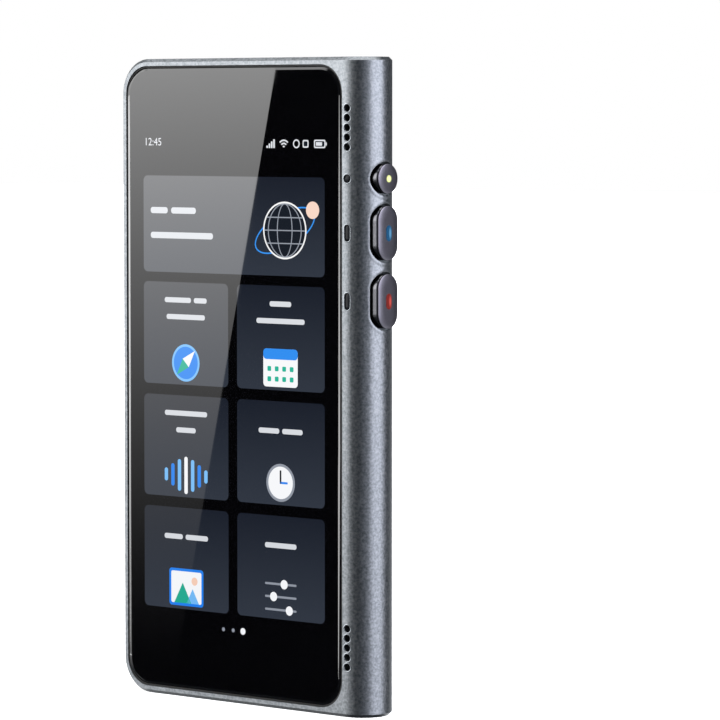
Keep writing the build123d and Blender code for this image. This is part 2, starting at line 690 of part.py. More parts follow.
def microphones():
    """One microphone on each board, behind its hole."""
    half = MIC_L / 2
    top = block(MIC_X - half, MIC_X + half, BOARD_BACK, BOARD_BACK + MIC_T,
                BOARD_Z[1] - MIC_W, BOARD_Z[1])
    low = block(MIC_X - half, MIC_X + half, LOW_BOARD_Y - MIC_T, LOW_BOARD_Y,
                LOW_BOARD_Z[0], LOW_BOARD_Z[0] + MIC_W)
    return all_of([top, low])


def vibration_motor():
    """Coin motor on the back of the mid frame."""
    return rod_y(MOTOR_R, MOTOR_X, MOTOR_UP, MID_BACK, MID_BACK + MOTOR_T)


# ---------------------------------------------------------------- camera, flash, sound, lenses
def camera_module():
    """Square sensor housing with its round barrel."""
    half = MODULE_W / 2
    body = block(-half, half, MID_BACK + MID_FIT, PANEL_Y - MID_FIT, CAMERA_Z - half, CAMERA_Z + half)
    return body + rod_y(BARREL_R, 0, CAMERA_Z, PANEL_Y - THROUGH, camera_glass_span()[0] - MID_FIT)


def camera_glass_span():
    """Front and back of the camera's cover glass."""
    back = BACK + RING_PROUD - CAMERA_GLASS_LOW
    return back - CAMERA_GLASS_T, back


def camera_ring():
    """Metal ring: a flange on the panel and a sleeve through it."""
    ring = rod_y(RING_R, 0, CAMERA_Z, BACK, BACK + RING_PROUD)
    ring = chamfer(ring.edges().group_by(Axis.Y)[-1], RING_EDGE)
    ring += rod_y(SLEEVE_R, 0, CAMERA_Z, PANEL_Y, BACK)
    return ring - rod_y(RING_R - RING_WALL, 0, CAMERA_Z, PANEL_Y - THROUGH, BACK + THROUGH)


def camera_glass():
    """Dark cover glass in the ring."""
    return rod_y(RING_R - RING_WALL, 0, CAMERA_Z, *camera_glass_span())


def flash_parts():
    """Diffuser in the panel and the LED on the main board behind it."""
    lens = rod_y(FLASH_R, 0, FLASH_Z, PANEL_Y, BACK + FLASH_PROUD)
    lens = chamfer(lens.edges().group_by(Axis.Y)[-1], FLASH_PROUD)
    half = FLASH_LED_W / 2
    led = block(-half, half, BOARD_BACK, BOARD_BACK + FLASH_LED_T, FLASH_Z - half, FLASH_Z + half)
    return {"flash_lens": lens, "flash_led": led}


def sound_parts():
    """A loudspeaker and a mesh behind each group of sound holes."""
    parts = {}
    for name, middle in SPEAKERS.items():
        half = SPEAKER_L / 2
        mesh_y = -BAY_HALF + MESH_T
        mesh_half = SOUND_PITCH * SOUND_COUNT / 2
        parts[name + "_speaker_mesh"] = block(STRIP_HOLE_X - SOUND_PITCH, STRIP_HOLE_X + SOUND_PITCH / 2,
                                              -BAY_HALF, mesh_y, middle - mesh_half, middle + mesh_half)
        parts[name + "_speaker"] = block(REAR_X + SEAT + MID_FIT, BAY_X - MESH_T, mesh_y + MESH_T,
                                         BAY_HALF - MESH_T, middle - half, middle + half)
    return parts


def lens_parts():
    """Smoked lenses in the strip and the LED board behind them."""
    parts = {name + "_lens": slab(face, FRONT + LENS_LOW, -BAY_HALF)
             for name, face in lens_faces(0).items()}
    low = KEYS["red"][0] - LENS_LONG
    high = KEYS["power"][0] + LENS_LONG / 2
    parts["indicator_board"] = block(KEY_BOARD_X, BAY_X - MESH_T, -BAY_HALF,
                                     -BAY_HALF + LED_BOARD_T, low, high)
    return parts


# ---------------------------------------------------------------- keys on the spine
def key_light(length):
    """Outline of a key's light window."""
    return Circle(DOT_D / 2) if length <= KEY_W else pill(LIGHT_W, LIGHT_LONG)


def key_cap(z, length):
    """Crown with a soft edge, a core inside the skirt, and a stem that ends in a clipped neck."""
    face_x = APEX + KEY_PROUD
    crown = along_x(pill(KEY_W, length), face_x - CROWN_T, face_x)
    crown = fillet(crown.faces().sort_by(Axis.X)[-1].edges(), CROWN_ROUND)
    groove_x = face_x - CROWN_T - GROOVE_W
    cap = crown + along_x(pill(KEY_W - 2 * GROOVE_D, length - 2 * GROOVE_D), groove_x, face_x - CROWN_T)
    cap += along_x(pill(KEY_W - 2 * SKIRT_WALL, length - 2 * SKIRT_WALL), KEY_BASE, groove_x)
    cap += rod_x(STEM_R, 0, 0, CLIP_X, KEY_BASE)
    cap += rod_x(NECK_R, 0, 0, STEM_END, CLIP_X)
    cap -= along_x(key_light(length), face_x - LIGHT_T, face_x + THROUGH)
    return Pos(0, 0, z) * cap


def key_skirt(z, length):
    """Polished ring under the crown."""
    top = KEY_BASE + SKIRT_T
    skirt = along_x(pill(KEY_W, length), KEY_BASE, top)
    skirt = chamfer(skirt.faces().sort_by(Axis.X)[-1].edges(), SKIRT_EDGE)
    inner = pill(KEY_W - 2 * SKIRT_WALL, length - 2 * SKIRT_WALL)
    return Pos(0, 0, z) * (skirt - along_x(inner, KEY_BASE - THROUGH, top + THROUGH))


def key_clip(z):
    """Ring on the stem's neck that stops the key coming out."""
    ring = rod_x(CLIP_R, 0, z, CLIP_X - CLIP_T, CLIP_X)
    return ring - rod_x(NECK_R + CLIP_FIT, 0, z, CLIP_X - THROUGH, CLIP_X + THROUGH)


def key_parts():
    """The moving pieces of all three keys."""
    parts = {}
    for name, (z, length) in KEYS.items():
        face_x = APEX + KEY_PROUD
        light = along_x(key_light(length), face_x - LIGHT_T, face_x + LIGHT_PROUD)
        parts[name + "_key_cap"] = key_cap(z, length)
        parts[name + "_key_skirt"] = key_skirt(z, length)
        parts[name + "_key_light"] = Pos(0, 0, z) * light
        parts[name + "_key_clip"] = key_clip(z)
        parts[name + "_switch_plunger"] = rod_x(PLUNGER_R, 0, z, SWITCH_X - PLUNGER_IN, STEM_END)
    return parts


def key_board():
    """Narrow board in the spine that carries the three key switches."""
    return block(KEY_BOARD_X - KEY_BOARD_T, KEY_BOARD_X, -KEY_BOARD_HALF, KEY_BOARD_HALF,
                 KEY_BAY[0] + KEY_GAP, KEY_BAY[1] - KEY_GAP)


def key_switches():
    """Tact switch body behind each key, bored for its plunger."""
    half = SWITCH_W / 2
    bodies = []
    for z, _ in KEYS.values():
        body = block(KEY_BOARD_X, SWITCH_X, -half, half, z - half, z + half)
        bore = rod_x(PLUNGER_R + PLUNGER_FIT, 0, z, KEY_BOARD_X + SWITCH_FLOOR, SWITCH_X + THROUGH)
        bodies.append(body - bore)
    return all_of(bodies)


# ---------------------------------------------------------------- volume rocker
def volume_rocker():
    """Rocker with a notch at its middle, a lug round its pin and an actuator at each end."""
    face = Pos(SIDE_KEYS_Y, ROCKER_Z) * pill(ROCKER_W, ROCKER_L)
    rocker = along_x(face, LEFT - ROCKER_PROUD, ROCKER_IN)
    edge = rocker.faces().sort_by(Axis.X)[0].edges()
    rocker = fillet(edge, NOTCH_D)
    notch = Plane((0, OUT, 0), x_dir=(1, 0, 0), z_dir=(0, -1, 0)) * Polygon(
        (LEFT - ROCKER_PROUD + NOTCH_D, ROCKER_Z), (LEFT - ROCKER_PROUD - NOTCH_D, ROCKER_Z + NOTCH_W),
        (LEFT - ROCKER_PROUD - NOTCH_D, ROCKER_Z - NOTCH_W), align=None)
    rocker -= extrude(notch, 2 * OUT)
    rocker += block(ROCKER_IN, ROCKER_IN + LUG_T, SIDE_KEYS_Y - LUG_W / 2, SIDE_KEYS_Y + LUG_W / 2,
                    ROCKER_Z - LUG_L / 2, ROCKER_Z + LUG_L / 2)
    for side in (-1, 1):
        z = ROCKER_Z + side * ACTUATOR_AT
        rocker += rod_x(ACTUATOR_R, SIDE_KEYS_Y, z, ROCKER_IN, ACTUATOR_X)
    return rocker - rod_y(PIN_R + PIN_FIT, PIN_X, ROCKER_Z, -OUT, OUT)


def rocker_pin():
    """Pin the rocker tilts on."""
    return rod_y(PIN_R, PIN_X, ROCKER_Z, SIDE_KEYS_Y - PIN_L / 2, SIDE_KEYS_Y + PIN_L / 2)


def volume_switches():
    """Two switches, each with its plunger, in the window behind the rocker."""
    bodies = []
    for side in (-1, 1):
        z = ROCKER_Z + side * ACTUATOR_AT
        half = VOLUME_SWITCH_W / 2
        body = block(VOLUME_SWITCH_X, VOLUME_BOARD_X, SIDE_KEYS_Y - half, SIDE_KEYS_Y + half,
                     z - VOLUME_SWITCH_L / 2 + ROCKER_GAP, z + VOLUME_SWITCH_L / 2 - ROCKER_GAP)
        bodies.append(body + rod_x(ACTUATOR_R, SIDE_KEYS_Y, z, VOLUME_PLUNGER_X, VOLUME_SWITCH_X))
    return all_of(bodies)


def volume_board():
    """Strip board that carries the volume switches."""
    half = ACTUATOR_AT + VOLUME_SWITCH_L
    return block(VOLUME_BOARD_X, VOLUME_BOARD_X + VOLUME_BOARD_T, MID_BACK + MID_FIT,
                 SIDE_KEYS_Y + ROCKER_W, ROCKER_Z - half, ROCKER_Z + half)


# ---------------------------------------------------------------- SIM tray
def sim_tray():
    """Head flush with the band, a blade with the card's pocket, and the eject pinhole."""
    face = Pos(SIDE_KEYS_Y, TRAY_Z) * pill(TRAY_W, TRAY_L)
    tray = along_x(face, TRAY_FACE, BLADE_X)
    half_w, half_t = TRAY_BLADE_W / 2, TRAY_BLADE_T / 2
    tray += block(BLADE_X, BLADE_X + TRAY_BLADE, BLADE_Y - half_t, BLADE_Y + half_t,
                  TRAY_Z - half_w, TRAY_Z + half_w)
    tray -= block(BLADE_X + CARD_IN - CARD_FIT, BLADE_X + CARD_IN + CARD_W + CARD_FIT,
                  BLADE_Y - half_t + TRAY_FLOOR, BLADE_Y + half_t + THROUGH,
                  TRAY_Z - CARD_L / 2 - CARD_FIT, TRAY_Z + CARD_L / 2 + CARD_FIT)
    low = TRAY_Z - TRAY_L / 2 + PINHOLE_IN
    return tray - rod_x(PINHOLE_R, SIDE_KEYS_Y, low, TRAY_FACE - THROUGH, BLADE_X - BLADE_GAP)


def sim_card():
    """Card lying in the tray."""
    floor = BLADE_Y - TRAY_BLADE_T / 2 + TRAY_FLOOR
    return block(BLADE_X + CARD_IN, BLADE_X + CARD_IN + CARD_W, floor, floor + CARD_T,
                 TRAY_Z - CARD_L / 2, TRAY_Z + CARD_L / 2)


def sim_socket():
    """Steel cage on the main board that the blade slides into."""
    x0, x1 = LEFT + REAR_WALL + BLADE_GAP, BLADE_X + TRAY_BLADE + SOCKET_SPARE
    half_y = TRAY_BLADE_T / 2 + BLADE_GAP
    half_z = TRAY_BLADE_W / 2 + BLADE_GAP
    cage = block(x0, x1 + SOCKET_WALL, BLADE_Y - half_y - SOCKET_WALL, BOARD_Y,
                 TRAY_Z - half_z - SOCKET_SIDE, TRAY_Z + half_z + SOCKET_SIDE)
    return cage - block(x0 - THROUGH, x1, BLADE_Y - half_y, BLADE_Y + half_y,
                        TRAY_Z - half_z, TRAY_Z + half_z)


# ---------------------------------------------------------------- USB socket
def usb_parts():
    """Steel shell, closed at its inner end, and the contact tongue."""
    shell = along_z(Pos(0, USB_Y) * SlotOverall(USB_W, USB_H), USB_LOW, USB_LOW + USB_L)
    inner = Pos(0, USB_Y) * SlotOverall(USB_W - 2 * USB_WALL, USB_H - 2 * USB_WALL)
    shell -= along_z(inner, USB_LOW - THROUGH, USB_LOW + USB_L - USB_WALL)
    root = USB_LOW + USB_L - USB_WALL
    tongue = block(-TONGUE_W / 2, TONGUE_W / 2, USB_Y - TONGUE_T / 2, USB_Y + TONGUE_T / 2,
                   root - TONGUE_L, root)
    return {"usb_shell": shell, "usb_tongue": tongue}


# ---------------------------------------------------------------- everything, by node
def all_parts():
    """Every node's shape, by its name."""
    parts = {
        "housing_shell": housing_shell(),
        "back_panel": back_panel(),
        "cover_glass": cover_glass(),
        "glass_gasket": glass_gasket(),
        "glass_adhesive": glass_adhesive(),
        "display_panel": display_panel(),
        "mid_frame": mid_frame(),
        "frame_screws": frame_screws(),
        "board_screws": board_screws(),
        "main_board": main_board(),
        "shield_cans": shield_cans(),
        "battery": battery(),
        "battery_adhesive": battery_adhesive(),
        "bottom_board": bottom_board(),
        "board_link": board_link(),
        "vibration_motor": vibration_motor(),
        "microphones": microphones(),
        "camera_module": camera_module(),
        "camera_ring": camera_ring(),
        "camera_glass": camera_glass(),
        "key_board": key_board(),
        "key_switches": key_switches(),
        "volume_rocker": volume_rocker(),
        "rocker_pin": rocker_pin(),
        "volume_switches": volume_switches(),
        "volume_board": volume_board(),
        "sim_tray": sim_tray(),
        "sim_card": sim_card(),
        "sim_socket": sim_socket(),
    }
    for group in (side_bands(), flash_parts(), sound_parts(), lens_parts(),
                  key_parts(), usb_parts()):
        parts.update(group)
    return parts


os.makedirs("parts", exist_ok=True)
for node, shape in all_parts().items():
    export_step(Pos(*TO_ORIGIN) * shape, f"parts/{node}.step")
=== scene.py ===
"""Looks of a handheld translator: a touch-screen slab with a full-round metal spine and three lit keys."""
import logging
import math
from dataclasses import dataclass, field
from enum import Enum
from typing import Any, Callable, Sequence

import bmesh
import bpy
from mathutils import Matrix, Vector


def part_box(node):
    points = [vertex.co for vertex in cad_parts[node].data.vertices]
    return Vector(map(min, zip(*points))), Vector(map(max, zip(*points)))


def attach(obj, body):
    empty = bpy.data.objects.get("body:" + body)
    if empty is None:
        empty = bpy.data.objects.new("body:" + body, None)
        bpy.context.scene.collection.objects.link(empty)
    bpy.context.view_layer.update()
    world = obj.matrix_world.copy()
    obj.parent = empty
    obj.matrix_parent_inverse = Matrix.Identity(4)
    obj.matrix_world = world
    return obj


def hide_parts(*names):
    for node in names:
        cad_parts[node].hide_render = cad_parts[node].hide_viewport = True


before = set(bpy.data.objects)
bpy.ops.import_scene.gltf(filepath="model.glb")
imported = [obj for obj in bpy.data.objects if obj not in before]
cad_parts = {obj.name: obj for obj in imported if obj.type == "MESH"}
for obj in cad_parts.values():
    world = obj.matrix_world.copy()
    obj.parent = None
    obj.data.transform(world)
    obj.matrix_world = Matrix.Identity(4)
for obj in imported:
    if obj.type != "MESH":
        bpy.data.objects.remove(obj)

LOG = logging.getLogger("translator")
MM = 0.001
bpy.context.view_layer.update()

Point = tuple[float, float]
Outline = list[Point]


# ------------------------------------------------------------------ small tools
def linear(code: str) -> tuple[float, float, float, float]:
    """Turns an sRGB hex colour into the linear colour that shaders take.

    Args:
        code: Six hex digits after a hash.

    Returns:
        Red, green, blue and an alpha of 1.
    """
    channels = [int(code[i:i + 2], 16) / 255 for i in (1, 3, 5)]
    curve = [c / 12.92 if c <= 0.04045 else ((c + 0.055) / 1.055) ** 2.4 for c in channels]
    return (curve[0], curve[1], curve[2], 1.0)


def add_node(tree: bpy.types.NodeTree, kind: str, inputs: dict[Any, Any] | None = None,
             **settings: Any) -> bpy.types.Node:
    """Adds one node, sets it up and links what feeds it.

    Args:
        tree: Shader or geometry tree.
        kind: The node's type name.
        inputs: By socket name or number, the socket that feeds it or a plain value.
        settings: The node's own properties.

    Returns:
        The new node.
    """
    node = tree.nodes.new(kind)
    for key, value in settings.items():
        setattr(node, key, value)
    for key, value in (inputs or {}).items():
        if isinstance(value, bpy.types.NodeSocket):
            tree.links.new(value, node.inputs[key])
        else:
            node.inputs[key].default_value = value
    return node


def link_object(name: str, mesh: bpy.types.Mesh) -> bpy.types.Object:
    """Puts a mesh into the scene as an object at the origin.

    Args:
        name: The piece's name.
        mesh: Its mesh, in metres in the shared frame.

    Returns:
        The new object.
    """
    piece = bpy.data.objects.new(name, mesh)
    bpy.context.scene.collection.objects.link(piece)
    return piece


def settle(piece: bpy.types.Object, body: str, slot: str, *replaced: str) -> bpy.types.Object:
    """Makes a finished piece ride on its body, hides the nodes it stands for and reports it.

    Args:
        piece: The piece, in place.
        body: The body it moves with.
        slot: The record's material slot; not used.
        replaced: CAD nodes that the piece stands for.

    Returns:
        The same piece.
    """
    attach(piece, body)
    if replaced:
        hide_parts(*replaced)
    LOG.info("%s: %d faces on %s", piece.name, len(piece.data.polygons), body)
    return piece


def grown(name: str, start: bpy.types.Mesh, tree: bpy.types.NodeTree,
          sizes: dict[str, Any]) -> bpy.types.Object:
    """Runs a geometry tree on a mesh and keeps the result as a plain mesh.

    Args:
        name: The piece's name.
        start: The mesh that the tree starts from.
        tree: The geometry tree.
        sizes: Values for its named inputs.

    Returns:
        An object with the resulting mesh and no modifier.
    """
    piece = link_object(name, start)
    modifier = piece.modifiers.new("grow", "NODES")
    modifier.node_group = tree
    sockets = {item.name: item.identifier for item in tree.interface.items_tree
               if item.item_type == "SOCKET" and item.in_out == "INPUT"}
    for key, value in sizes.items():
        modifier[sockets[key]] = value
    bpy.context.view_layer.update()
    evaluated = piece.evaluated_get(bpy.context.evaluated_depsgraph_get())
    mesh = bpy.data.meshes.new_from_object(evaluated)
    mesh.name = name
    piece.modifiers.remove(modifier)
    piece.data = mesh
    return piece


# ------------------------------------------------------------------ finishes
@dataclass(frozen=True)
class Finish:
    """A surface, named for its real material. Subclasses paint its nodes."""

    name: str

    def build(self) -> bpy.types.Material:
        """Makes the material once and returns it.

        Returns:
            The material.
        """
        known = bpy.data.materials.get(self.name + "_finish")
        if known:
            return known
        material = bpy.data.materials.new(self.name + "_finish")
        material.use_nodes = True
        tree = material.node_tree
        self.paint(tree, tree.nodes["Principled BSDF"])
        return material

    def paint(self, tree: bpy.types.NodeTree, shader: bpy.types.Node) -> None:
        """Sets the shader and adds the pattern's nodes.

        Args:
            tree: The material's tree.
            shader: Its Principled BSDF.
        """
        raise NotImplementedError

    @staticmethod
    def place(tree: bpy.types.NodeTree) -> bpy.types.NodeSocket:
        """The point on the object, in metres."""
        return add_node(tree, "ShaderNodeTexCoord").outputs["Object"]

    @staticmethod
    def grain(tree: bpy.types.NodeTree, size: float, detail: float = 2.0,
              stretch: tuple[float, float, float] = (1, 1, 1)) -> bpy.types.NodeSocket:
        """Noise whose lumps are about one size.

        Args:
            tree: The material's tree.
            size: Lump size in millimetres.
            detail: Octaves of finer noise.
            stretch: Factors on the three axes.

        Returns:
            The noise from 0 to 1.
        """
        turned = add_node(tree, "ShaderNodeMapping", {"Vector": Finish.place(tree), "Scale": stretch})
        noise = add_node(tree, "ShaderNodeTexNoise", {
            "Vector": turned.outputs[0], "Scale": 1 / (size * MM), "Detail": detail, "Roughness": 0.6})
        return noise.outputs["Fac"]

    @staticmethod
    def between(tree: bpy.types.NodeTree, amount: bpy.types.NodeSocket, low: str, high: str,
                span: tuple[float, float] = (0.3, 0.7)) -> bpy.types.NodeSocket:
        """A colour between two hex colours.

        Args:
            tree: The material's tree.
            amount: What decides, from 0 to 1.
            low: Colour at the span's start.
            high: Colour at its end.
            span: Where the change starts and ends.

        Returns:
            The colour.
        """
        ramp = add_node(tree, "ShaderNodeValToRGB", {"Fac": amount})
        for element, place, code in zip(ramp.color_ramp.elements, span, (low, high)):
            element.position = place
            element.color = linear(code)
        return ramp.outputs["Color"]

    @staticmethod
    def level(tree: bpy.types.NodeTree, amount: bpy.types.NodeSocket, low: float, high: float,
              span: tuple[float, float] = (0.3, 0.7)) -> bpy.types.NodeSocket:
        """A number between two numbers, led by another.

        Args:
            tree: The material's tree.
            amount: What leads it.
            low: The number at the span's start.
            high: The number at its end.
            span: Where the change starts and ends.

        Returns:
            The number.
        """
        spread = add_node(tree, "ShaderNodeMapRange", {
            "Value": amount, "From Min": span[0], "From Max": span[1], "To Min": low, "To Max": high})
        return spread.outputs["Result"]

    @staticmethod
    def relief(tree: bpy.types.NodeTree, shader: bpy.types.Node, height: bpy.types.NodeSocket,
               depth: float, strength: float = 1.0) -> None:
        """Gives the shader a bump of a real depth in millimetres.

        Args:
            tree: The material's tree.
            shader: Its Principled BSDF.
            height: The relief's height, from 0 to 1.
            depth: Its depth in millimetres.
            strength: How much of it shows.
        """
        bump = add_node(tree, "ShaderNodeBump", {
            "Height": height, "Distance": depth * MM, "Strength": strength})
        tree.links.new(bump.outputs["Normal"], shader.inputs["Normal"])


@dataclass(frozen=True)
class BlastedMetal(Finish):
    """Bead-blasted and anodised aluminium: a satin face of tiny dimples that glint one by one."""

    dark: str = "#717579"
    light: str = "#999DA1"
    grit: float = 0.44      # mm, drawn coarser than real blasting so that it shows
    depth: float = 0.014    # mm
    roughness: tuple[float, float] = (0.30, 0.40)

    def paint(self, tree: bpy.types.NodeTree, shader: bpy.types.Node) -> None:
        """Metal with dimples in its colour, gloss and relief.

        Args:
            tree: The material's tree.
            shader: Its Principled BSDF.
        """
        fine = self.grain(tree, self.grit, 2.0)
        shader.inputs["Metallic"].default_value = 1.0
        tree.links.new(self.between(tree, fine, self.dark, self.light, (0.3, 0.7)),
                       shader.inputs["Base Color"])
        tree.links.new(self.level(tree, fine, *self.roughness), shader.inputs["Roughness"])
        self.relief(tree, shader, fine, self.depth)


@dataclass(frozen=True)
class Moulded(Finish):
    """Moulded plastic or rubber with a fine even texture from its tool."""

    dark: str = "#1D1F20"
    light: str = "#2B2D2E"
    grain_size: float = 0.12
    depth: float = 0.004
    roughness: tuple[float, float] = (0.42, 0.55)

    def paint(self, tree: bpy.types.NodeTree, shader: bpy.types.Node) -> None:
        """Plain dielectric with a slight mottle.

        Args:
            tree: The material's tree.
            shader: Its Principled BSDF.
        """
        fine = self.grain(tree, self.grain_size)
        shader.inputs["IOR"].default_value = 1.5
        tree.links.new(self.between(tree, fine, self.dark, self.light), shader.inputs["Base Color"])
        tree.links.new(self.level(tree, fine, *self.roughness), shader.inputs["Roughness"])
        self.relief(tree, shader, fine, self.depth)


@dataclass(frozen=True)
class PolishedGlass(Finish):
    """Chemically strengthened glass over black: a clear mirror with the faintest wave in it."""

    tint: str = "#030304"
    wave: float = 9.0
    depth: float = 0.00002

    def paint(self, tree: bpy.types.NodeTree, shader: bpy.types.Node) -> None:
        """Black body under a smooth dielectric face.

        Args:
            tree: The material's tree.
            shader: Its Principled BSDF.
        """
        slow = self.grain(tree, self.wave, 0.0)
        shader.inputs["Base Color"].default_value = linear(self.tint)
        shader.inputs["IOR"].default_value = 1.52
        tree.links.new(self.level(tree, slow, 0.0, 0.012), shader.inputs["Roughness"])
        self.relief(tree, shader, slow, self.depth)


@dataclass(frozen=True)
class LitInk(Finish):
    """A lit patch of the display, seen through the glass: its own light under a smooth glass face."""

    low: str = "#2E333E"
    high: str = "#1C202B"
    bottom: float = 0.0     # mm, where the low colour is
    top: float = 118.0      # mm, where the high colour is
    strength: float = 1.0
    ior: float = 1.52

    def paint(self, tree: bpy.types.NodeTree, shader: bpy.types.Node) -> None:
        """Light that changes slowly up the patch.

        Args:
            tree: The material's tree.
            shader: Its Principled BSDF.
        """
        height = add_node(tree, "ShaderNodeSeparateXYZ", {0: self.place(tree)}).outputs["Z"]
        amount = self.level(tree, height, 0.0, 1.0, (self.bottom * MM, self.top * MM))
        shader.inputs["Base Color"].default_value = linear("#020202")
        shader.inputs["IOR"].default_value = self.ior
        shader.inputs["Roughness"].default_value = 0.01
        tree.links.new(self.between(tree, amount, self.low, self.high, (0.0, 1.0)),
                       shader.inputs["Emission Color"])
        shader.inputs["Emission Strength"].default_value = self.strength


@dataclass(frozen=True)
class LightPipe(Finish):
    """A clear light pipe with its LED on: brightest along its middle."""

    core: str = "#F0FBA0"
    rim: str = "#8FA53A"
    centre: tuple[float, float, float] = (0, 0, 0)     # mm
    reach: tuple[float, float] = (0.5, 1.6)            # half size across and along, mm
    strength: float = 1.0

    def paint(self, tree: bpy.types.NodeTree, shader: bpy.types.Node) -> None:
        """Glow that falls off from the middle towards the window's edge.

        Args:
            tree: The material's tree.
            shader: Its Principled BSDF.
        """
        shift = tuple(-c * MM for c in self.centre)
        moved = add_node(tree, "ShaderNodeVectorMath", {0: self.place(tree), 1: shift}, operation="ADD")
        scale = (0.0, 1 / (self.reach[0] * MM), 1 / (self.reach[1] * MM))
        shaped = add_node(tree, "ShaderNodeVectorMath", {0: moved.outputs[0], 1: scale},
                          operation="MULTIPLY")
        far = add_node(tree, "ShaderNodeVectorMath", {0: shaped.outputs[0]}, operation="LENGTH")
        shader.inputs["Base Color"].default_value = linear(self.rim)
        shader.inputs["Roughness"].default_value = 0.15
        shader.inputs["IOR"].default_value = 1.49
        tree.links.new(self.between(tree, far.outputs["Value"], self.core, self.rim, (0.35, 1.0)),
                       shader.inputs["Emission Color"])
        shader.inputs["Emission Strength"].default_value = self.strength


@dataclass(frozen=True)
class PolishedMetal(Finish):
    """Turned or polished metal: bright, with hair-fine tool marks."""

    colour: str = "#A5A5A8"
    shade: str = "#8A8A8E"
    marks: float = 0.08
    roughness: tuple[float, float] = (0.12, 0.2)
    stretch: tuple[float, float, float] = (1, 1, 1)

    def paint(self, tree: bpy.types.NodeTree, shader: bpy.types.Node) -> None:
        """Metal with a fine streak in its colour and gloss.

        Args:
            tree: The material's tree.
            shader: Its Principled BSDF.
        """
        streak = self.grain(tree, self.marks, 2.0, self.stretch)
        shader.inputs["Metallic"].default_value = 1.0
        tree.links.new(self.between(tree, streak, self.shade, self.colour), shader.inputs["Base Color"])
        tree.links.new(self.level(tree, streak, *self.roughness), shader.inputs["Roughness"])


@dataclass(frozen=True)
class SmokedResin(Finish):
    """Polished smoked acrylic: nearly black, with a deep gloss."""

    colour: str = "#141618"
    speck: str = "#24272A"

    def paint(self, tree: bpy.types.NodeTree, shader: bpy.types.Node) -> None:
        """Dark gloss with a slight inner haze, kept from mirroring by a clear coating.

        Args:
            tree: The material's tree.
            shader: Its Principled BSDF.
        """
        haze = self.grain(tree, 0.5, 1.0)
        shader.inputs["IOR"].default_value = 1.49
        shader.inputs["Specular IOR Level"].default_value = 0.12
        tree.links.new(self.between(tree, haze, self.colour, self.speck), shader.inputs["Base Color"])
        tree.links.new(self.level(tree, haze, 0.03, 0.08), shader.inputs["Roughness"])


@dataclass(frozen=True)
class WovenCloth(Finish):
    """Hydrophobic acoustic cloth: a plain weave of matt black threads, with painted shade in the open
    squares between for the dark behind the cloth.
    """

    thread: str = "#1A1B1D"
    # painted shade: the dark seen through the open squares of the weave
    shade: str = "#020202"
    pitch: float = 0.16     # mm from thread to thread
    depth: float = 0.03     # mm

    def paint(self, tree: bpy.types.NodeTree, shader: bpy.types.Node) -> None:
        """Two crossed sets of threads, with painted shade where neither runs.

        Args:
            tree: The material's tree.
            shader: Its Principled BSDF.
        """
        place = self.place(tree)
        scale = math.pi / (10 * self.pitch * MM)
        threads = [add_node(tree, "ShaderNodeTexWave", {"Vector": place, "Scale": scale},
                            bands_direction=axis).outputs["Fac"] for axis in ("X", "Z")]
        weave = add_node(tree, "ShaderNodeMath", {0: threads[0], 1: threads[1]},
                         operation="MAXIMUM").outputs[0]
        tree.links.new(self.between(tree, weave, self.shade, self.thread, (0.3, 0.9)),
                       shader.inputs["Base Color"])
        shader.inputs["Roughness"].default_value = 0.8
        shader.inputs["Sheen Weight"].default_value = 0.15
        self.relief(tree, shader, weave, self.depth)


class Cell(Enum):
    """Patterns of a flat inner part."""

    BOARD = "BRICK"
    PLAIN = "NOISE"


@dataclass(frozen=True)
class InnerPart(Finish):
    """An inner part's plain finish: lacquered board, plated can, film or foam."""

    colour: str = "#1F4A34"
    mark: str = "#2E6B4B"
    cell: Cell = Cell.PLAIN
    size: float = 1.6
    metal: float = 0.0
    roughness: float = 0.4

    def paint(self, tree: bpy.types.NodeTree, shader: bpy.types.Node) -> None:
        """Two close colours in a brick or noise pattern.

        Args:
            tree: The material's tree.
            shader: Its Principled BSDF.
        """
        shader.inputs["Metallic"].default_value = self.metal
        shader.inputs["Roughness"].default_value = self.roughness
        if self.cell is Cell.BOARD:
            turned = add_node(tree, "ShaderNodeMapping", {
                "Vector": self.place(tree), "Rotation": (math.pi / 2, 0, 0)})
            brick = add_node(tree, "ShaderNodeTexBrick", {
                "Vector": turned.outputs[0], "Scale": 1 / (self.size * MM), "Mortar Size": 0.06,
                "Color1": linear(self.colour), "Color2": linear(self.colour), "Mortar": linear(self.mark)})
            tree.links.new(brick.outputs["Color"], shader.inputs["Base Color"])
        else:
            tree.links.new(self.between(tree, self.grain(tree, self.size), self.colour, self.mark),
                           shader.inputs["Base Color"])


# ------------------------------------------------------------------ the finishes in use
ALUMINIUM = BlastedMetal("anodised_aluminium")
BAND_NYLON = Moulded("black_nylon", "#191B1C", "#2A2C2D", 0.10, 0.004, (0.40, 0.52))
KEY_NYLON = Moulded("rocker_nylon", "#26282A", "#34373A", 0.10, 0.004, (0.34, 0.44))
GASKET = Moulded("gasket_rubber", "#070707", "#101010", 0.2, 0.004, (0.6, 0.75))
GLASS = PolishedGlass("cover_glass")
LENS_RESIN = SmokedResin("smoked_acrylic", "#0A0B0C", "#15171A")
KEY_FACE = BlastedMetal("satin_anodised_key", "#68666F", "#7E7C85", 0.12, 0.003, (0.31, 0.37))
KEY_SIDE = PolishedMetal("polished_key_skirt", "#6B6B6F", "#5C5C60", 0.08, (0.12, 0.20), (1, 1, 0.2))
RING_METAL = PolishedMetal("turned_black_aluminium", "#4B4D50", "#3C3E41", 0.06, (0.18, 0.26))
CUT_EDGE = PolishedMetal("diamond_cut_edge", "#A4A9AE", "#8F9499", 0.08, (0.20, 0.28))
GOLD = PolishedMetal("gold_plate", "#D9B25A", "#C79D45", 0.1, (0.2, 0.3))
CAMERA_GLASS = PolishedGlass("printed_camera_glass", "#1C1D1F")
BAFFLE = Moulded("lens_baffle", "#1B1C1E", "#2A2B2E", 0.1, 0.003, (0.3, 0.4))
